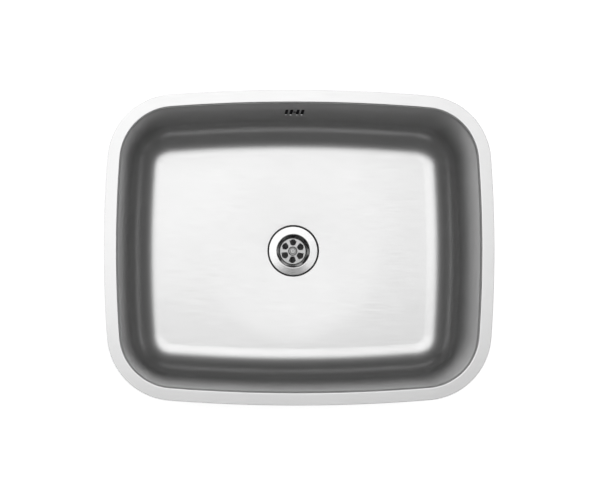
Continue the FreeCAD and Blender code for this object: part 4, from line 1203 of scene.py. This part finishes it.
class SINK_OT_hose(bpy.types.Operator):
    """Form the ribbed overflow hose with its plain cuffs and its bore"""
    bl_idname = "sink.hose"
    bl_label = "Overflow hose"

    def execute(self, context):
        bowl, fitting = context.scene.sink_bowl, context.scene.sink_fitting
        overflow, hose = context.scene.sink_overflow, context.scene.sink_hose
        line = hose_line(bowl, overflow, fitting, hose)
        start, first, last, end = line
        turn = math.pi / 2 - bowl.draft
        total = (first - start).length + hose.bend * turn + (end - last).length
        pitch = (total - 2 * hose.cuff) / hose.ribs
        swell = hose.crest - hose.valley
        stations = [(0.0, hose.crest - 0.4 * MM), (0.4 * MM, hose.crest),
                    (hose.cuff * 0.5, hose.crest)]
        for rib in range(hose.ribs):
            for portion, height in RIB:
                stations.append((hose.cuff + (rib + portion) * pitch,
                                 hose.valley + swell * height))
        stations += [(total - hose.cuff, hose.crest), (total - hose.cuff * 0.5, hose.crest),
                     (total - 0.4 * MM, hose.crest), (total, hose.crest - 0.4 * MM)]
        steps = 32
        stations += [(total * (1 - step / steps), hose.bore) for step in range(steps + 1)]
        side = Vector((1, 0, 0))
        headings = [FULL_TURN * index / hose.sides for index in range(hose.sides)]

        def circle(distance, radius):
            place, forward = along_hose(line, hose.bend, distance)
            rise = forward.cross(side)
            return [place + (side * math.cos(turn) + rise * math.sin(turn)) * radius
                    for turn in headings]

        bm = bmesh.new()
        ring = bmesh.ops.create_circle(bm, segments=hose.sides, radius=hose.bore)["verts"]
        for vert, place in zip(ring, circle(*stations[-1])):
            vert.co = place
        for station in stations[:-1]:
            ring = next_ring(bm, ring, circle(*station))
        open_edges = [edge for edge in bm.edges if edge.is_boundary]
        bmesh.ops.bridge_loops(bm, edges=open_edges)
        bmesh.ops.recalc_face_normals(bm, faces=bm.faces[:])
        placed(bm, hose_plane(bowl, overflow))
        finish = moulded_plastic("hose_plastic", hose.plastic, roughness=0.38, grain=1500)
        finish_piece(raw_object(bm), "ribbed_overflow_hose", finish, "hose_plastic",
                     "overflow_hose", sharp=60)
        return {"FINISHED"}


class SINK_OT_nuts(bpy.types.Operator):
    """Turn the two fluted union nuts of the hose"""
    bl_idname = "sink.nuts"
    bl_label = "Union nuts"

    def execute(self, context):
        bowl, fitting = context.scene.sink_bowl, context.scene.sink_fitting
        overflow, hose = context.scene.sink_overflow, context.scene.sink_hose
        thread = fitting.spigot_radius + fitting.fit
        outer = thread + fitting.nut_wall
        hole = hose.crest + fitting.clearance
        back = fitting.hose_seal + fitting.nut_back
        nut = raw_object(turned([
            (thread, -fitting.nut_grip, 0.5 * MM),
            (outer, -fitting.nut_grip, 0.6 * MM),
            (outer, back - 1.2 * MM, 0.5 * MM),
            (outer - 1.2 * MM, back, 0.5 * MM),
            (hole, back, 0.4 * MM),
            (hole, fitting.hose_seal, 0),
            (thread, fitting.hose_seal, 0),
        ], 96), "nut")
        flutes = []
        for index in range(fitting.flute_count):
            turn = FULL_TURN * index / fitting.flute_count
            reach = outer + fitting.flute_radius / 2
            spot = Matrix.Translation((reach * math.cos(turn), reach * math.sin(turn), 0))
            flutes.append(raw_object(placed(
                rod(fitting.flute_radius, -fitting.nut_grip - 5 * MM, back + 5 * MM, 24),
                spot)))
        combine(nut, flutes, "DIFFERENCE")
        finish = shared_finish("nut_plastic", lambda: moulded_plastic(
            "nut_plastic", context.scene.sink_waste.plastic, roughness=0.4))
        for name, node, joint in (
                ("union_nut_upper", "hose_nut_upper", upper_joint(bowl, overflow)),
                ("union_nut_lower", "hose_nut_lower",
                 lower_joint(bowl, overflow, fitting))):
            copy = bmesh.new()
            copy.from_mesh(nut.data)
            finish_piece(raw_object(placed(copy, joint)), name, finish, "nut_plastic", node,
                         sharp=45)
        bpy.data.objects.remove(nut)
        return {"FINISHED"}


# ---------------------------------------------------------------- sound pads

class SINK_OT_pads(bpy.types.Operator):
    """Lay the two sound-deadening pads under the floor"""
    bl_idname = "sink.pads"
    bl_label = "Sound pads"

    def execute(self, context):
        bowl, pad = context.scene.sink_bowl, context.scene.sink_pad
        finish = pad_compound(pad.compound)
        for name, node, side in (("sound_pad_left_compound", "sound_pad_left", -1),
                                 ("sound_pad_right_compound", "sound_pad_right", 1)):
            middle = (pad.inner_edge + pad.width / 2) * side
            bm = block(pad.width, pad.length, pad.thickness, (middle, 0, 0),
                       corner=pad.corner, axis=2, steps=8)
            rim = [edge for edge in bm.edges
                   if all(vert.co.z < 0 for vert in edge.verts)]
            bmesh.ops.bevel(bm, geom=rim, affect="EDGES", offset_type="OFFSET",
                            offset=0.9 * MM, segments=3, profile=0.5, material=-1)
            for axis, low, high, steps in ((0, middle - pad.width / 2, middle + pad.width / 2,
                                            16),
                                           (1, -pad.length / 2, pad.length / 2, 26)):
                normal = Vector((0, 0, 0))
                normal[axis] = 1
                for step in range(1, steps):
                    spot = normal * (low + (high - low) * step / steps)
                    bmesh.ops.bisect_plane(bm, geom=bm.verts[:] + bm.edges[:] + bm.faces[:],
                                           plane_co=spot, plane_no=normal)
            for vert in bm.verts:
                radius = math.hypot(vert.co.x, vert.co.y)
                vert.co.z += (floor_level_at(bowl, radius) - bowl.gauge
                              - pad.thickness / 2)
            bmesh.ops.recalc_face_normals(bm, faces=bm.faces[:])
            finish_piece(raw_object(bm), name, finish, "pad_compound", node, sharp=50)
        return {"FINISHED"}


# ---------------------------------------------------------------- studio

def look_down(place):
    """Turns a camera at a place to the origin, with the back of the sink at the top."""
    back = Vector(place).normalized()
    right = Vector((0, 1, 0)).cross(back).normalized()
    up = back.cross(right)
    turn = Matrix((right, up, back)).transposed().to_4x4()
    return Matrix.Translation(place) @ turn


class SINK_OT_stage(bpy.types.Operator):
    """Set up the pale floor, the soft box, the dim surroundings and the camera"""
    bl_idname = "sink.stage"
    bl_label = "Studio"

    def execute(self, context):
        scene, stage = context.scene, context.scene.sink_stage
        bm = bmesh.new()
        bmesh.ops.create_grid(bm, x_segments=1, y_segments=1, size=8)
        placed(bm, Matrix.Translation((0, 0, stage.floor_level)))
        floor = raw_object(bm, "studio_floor")
        floor.data.materials.append(self.floor_finish(stage.floor_glow))

        lamp = bpy.data.lights.new("soft_box", "AREA")
        lamp.shape = "RECTANGLE"
        lamp.size = stage.lamp_length
        lamp.size_y = stage.lamp_width
        lamp.energy = stage.lamp_power
        holder = bpy.data.objects.new("soft_box", lamp)
        holder.location = stage.lamp
        scene.collection.objects.link(holder)

        scene.world = self.surroundings(stage.surroundings)

        lens = bpy.data.cameras.new("camera")
        camera = bpy.data.objects.new("camera", lens)
        scene.collection.objects.link(camera)
        camera.matrix_world = look_down(stage.camera)
        lens.sensor_width = 36
        lens.lens = lens.sensor_width * Vector(stage.camera).length / stage.view_width
        lens.shift_y = stage.shift
        lens.clip_end = 50
        scene.camera = camera
        scene.view_settings.view_transform = "Standard"
        return {"FINISHED"}

    def floor_finish(self, glow):
        """Pale to the light, and white where it is seen or mirrored; near the object ambient
        occlusion dims that white, a painted shadow.
        """
        material = bpy.data.materials.new("studio_floor")
        material.use_nodes = True
        tree = material.node_tree
        shader = tree.nodes["Principled BSDF"]
        shader.inputs["Base Color"].default_value = (0.85, 0.85, 0.85, 1)
        shader.inputs["Roughness"].default_value = 0.9
        shader.inputs["Specular IOR Level"].default_value = 0.1
        # painted shadow: ambient occlusion darkens the floor's glow under and beside the
        # object
        near = tree.nodes.new("ShaderNodeAmbientOcclusion")
        near.inputs["Distance"].default_value = 120 * MM
        seen = tree.nodes.new("ShaderNodeMath")
        seen.operation = "MULTIPLY"
        level = tree.nodes.new("ShaderNodeMath")
        level.operation = "MULTIPLY"
        level.inputs[1].default_value = glow
        shader.inputs["Emission Color"].default_value = (1, 1, 1, 1)
        tree.links.new(self.seen_rays(tree), seen.inputs[0])
        tree.links.new(near.outputs["AO"], seen.inputs[1])
        tree.links.new(seen.outputs["Value"], level.inputs[0])
        tree.links.new(level.outputs["Value"], shader.inputs["Emission Strength"])
        return material

    def seen_rays(self, tree, mask=None):
        """1 for camera, glossy and transmission rays; a mask limits the last two."""
        rays = tree.nodes.new("ShaderNodeLightPath")
        mirrored = tree.nodes.new("ShaderNodeMath")
        mirrored.operation = "MAXIMUM"
        tree.links.new(rays.outputs["Is Glossy Ray"], mirrored.inputs[0])
        tree.links.new(rays.outputs["Is Transmission Ray"], mirrored.inputs[1])
        value = mirrored.outputs["Value"]
        if mask:
            limited = tree.nodes.new("ShaderNodeMath")
            limited.operation = "MULTIPLY"
            tree.links.new(value, limited.inputs[0])
            tree.links.new(mask, limited.inputs[1])
            value = limited.outputs["Value"]
        either = tree.nodes.new("ShaderNodeMath")
        either.operation = "MAXIMUM"
        tree.links.new(value, either.inputs[0])
        tree.links.new(rays.outputs["Is Camera Ray"], either.inputs[1])
        return either.outputs["Value"]

    def surroundings(self, strength):
        """Dim walls and ceiling, white behind the object and mirrored white near the floor."""
        world = bpy.data.worlds.new("studio")
        world.use_nodes = True
        tree = world.node_tree
        dim = tree.nodes["Background"]
        dim.inputs["Color"].default_value = (1, 1, 1, 1)
        dim.inputs["Strength"].default_value = strength
        white = tree.nodes.new("ShaderNodeBackground")
        white.inputs["Color"].default_value = (1, 1, 1, 1)
        coordinates = tree.nodes.new("ShaderNodeTexCoord")
        parts = tree.nodes.new("ShaderNodeSeparateXYZ")
        low = tree.nodes.new("ShaderNodeMapRange")
        low.inputs["From Min"].default_value = 0.3
        low.inputs["From Max"].default_value = 0.1
        tree.links.new(coordinates.outputs["Generated"], parts.inputs["Vector"])
        tree.links.new(parts.outputs["Z"], low.inputs["Value"])
        mix = tree.nodes.new("ShaderNodeMixShader")
        tree.links.new(self.seen_rays(tree, low.outputs["Result"]),
                       mix.inputs["Fac"])
        tree.links.new(dim.outputs["Background"], mix.inputs[1])
        tree.links.new(white.outputs["Background"], mix.inputs[2])
        output = tree.nodes["World Output"]
        tree.links.new(mix.outputs["Shader"], output.inputs["Surface"])
        return world


# ---------------------------------------------------------------- add-on

OPERATORS = (
    SINK_OT_bowl,
    SINK_OT_strainer,
    SINK_OT_screws,
    SINK_OT_waste_body,
    SINK_OT_seals,
    SINK_OT_overflow,
    SINK_OT_hose,
    SINK_OT_nuts,
    SINK_OT_pads,
    SINK_OT_stage,
)


class SINK_PT_panel(bpy.types.Panel):
    """Buttons and sizes of the sink"""
    bl_idname = "SINK_PT_panel"
    bl_label = "Undermount Sink"
    bl_space_type = "VIEW_3D"
    bl_region_type = "UI"
    bl_category = "Sink"

    def draw(self, context):
        for operator in OPERATORS:
            self.layout.operator(operator.bl_idname)
        for name, group in SETTINGS.items():
            box = self.layout.box()
            for key in group.__annotations__:
                box.prop(getattr(context.scene, name), key)


def register():
    for name, group in SETTINGS.items():
        bpy.utils.register_class(group)
        setattr(bpy.types.Scene, name, bpy.props.PointerProperty(type=group))
    for entry in OPERATORS + (SINK_PT_panel,):
        bpy.utils.register_class(entry)


def unregister():
    for entry in reversed(OPERATORS + (SINK_PT_panel,)):
        bpy.utils.unregister_class(entry)
    for name, group in SETTINGS.items():
        delattr(bpy.types.Scene, name)
        bpy.utils.unregister_class(group)


def main():
    register()
    bpy.ops.sink.bowl()
    bpy.ops.sink.strainer()
    bpy.ops.sink.screws()
    bpy.ops.sink.waste_body()
    bpy.ops.sink.seals()
    bpy.ops.sink.overflow()
    bpy.ops.sink.hose()
    bpy.ops.sink.nuts()
    bpy.ops.sink.pads()
    bpy.ops.sink.stage()


if __name__ == "__main__":
    main()
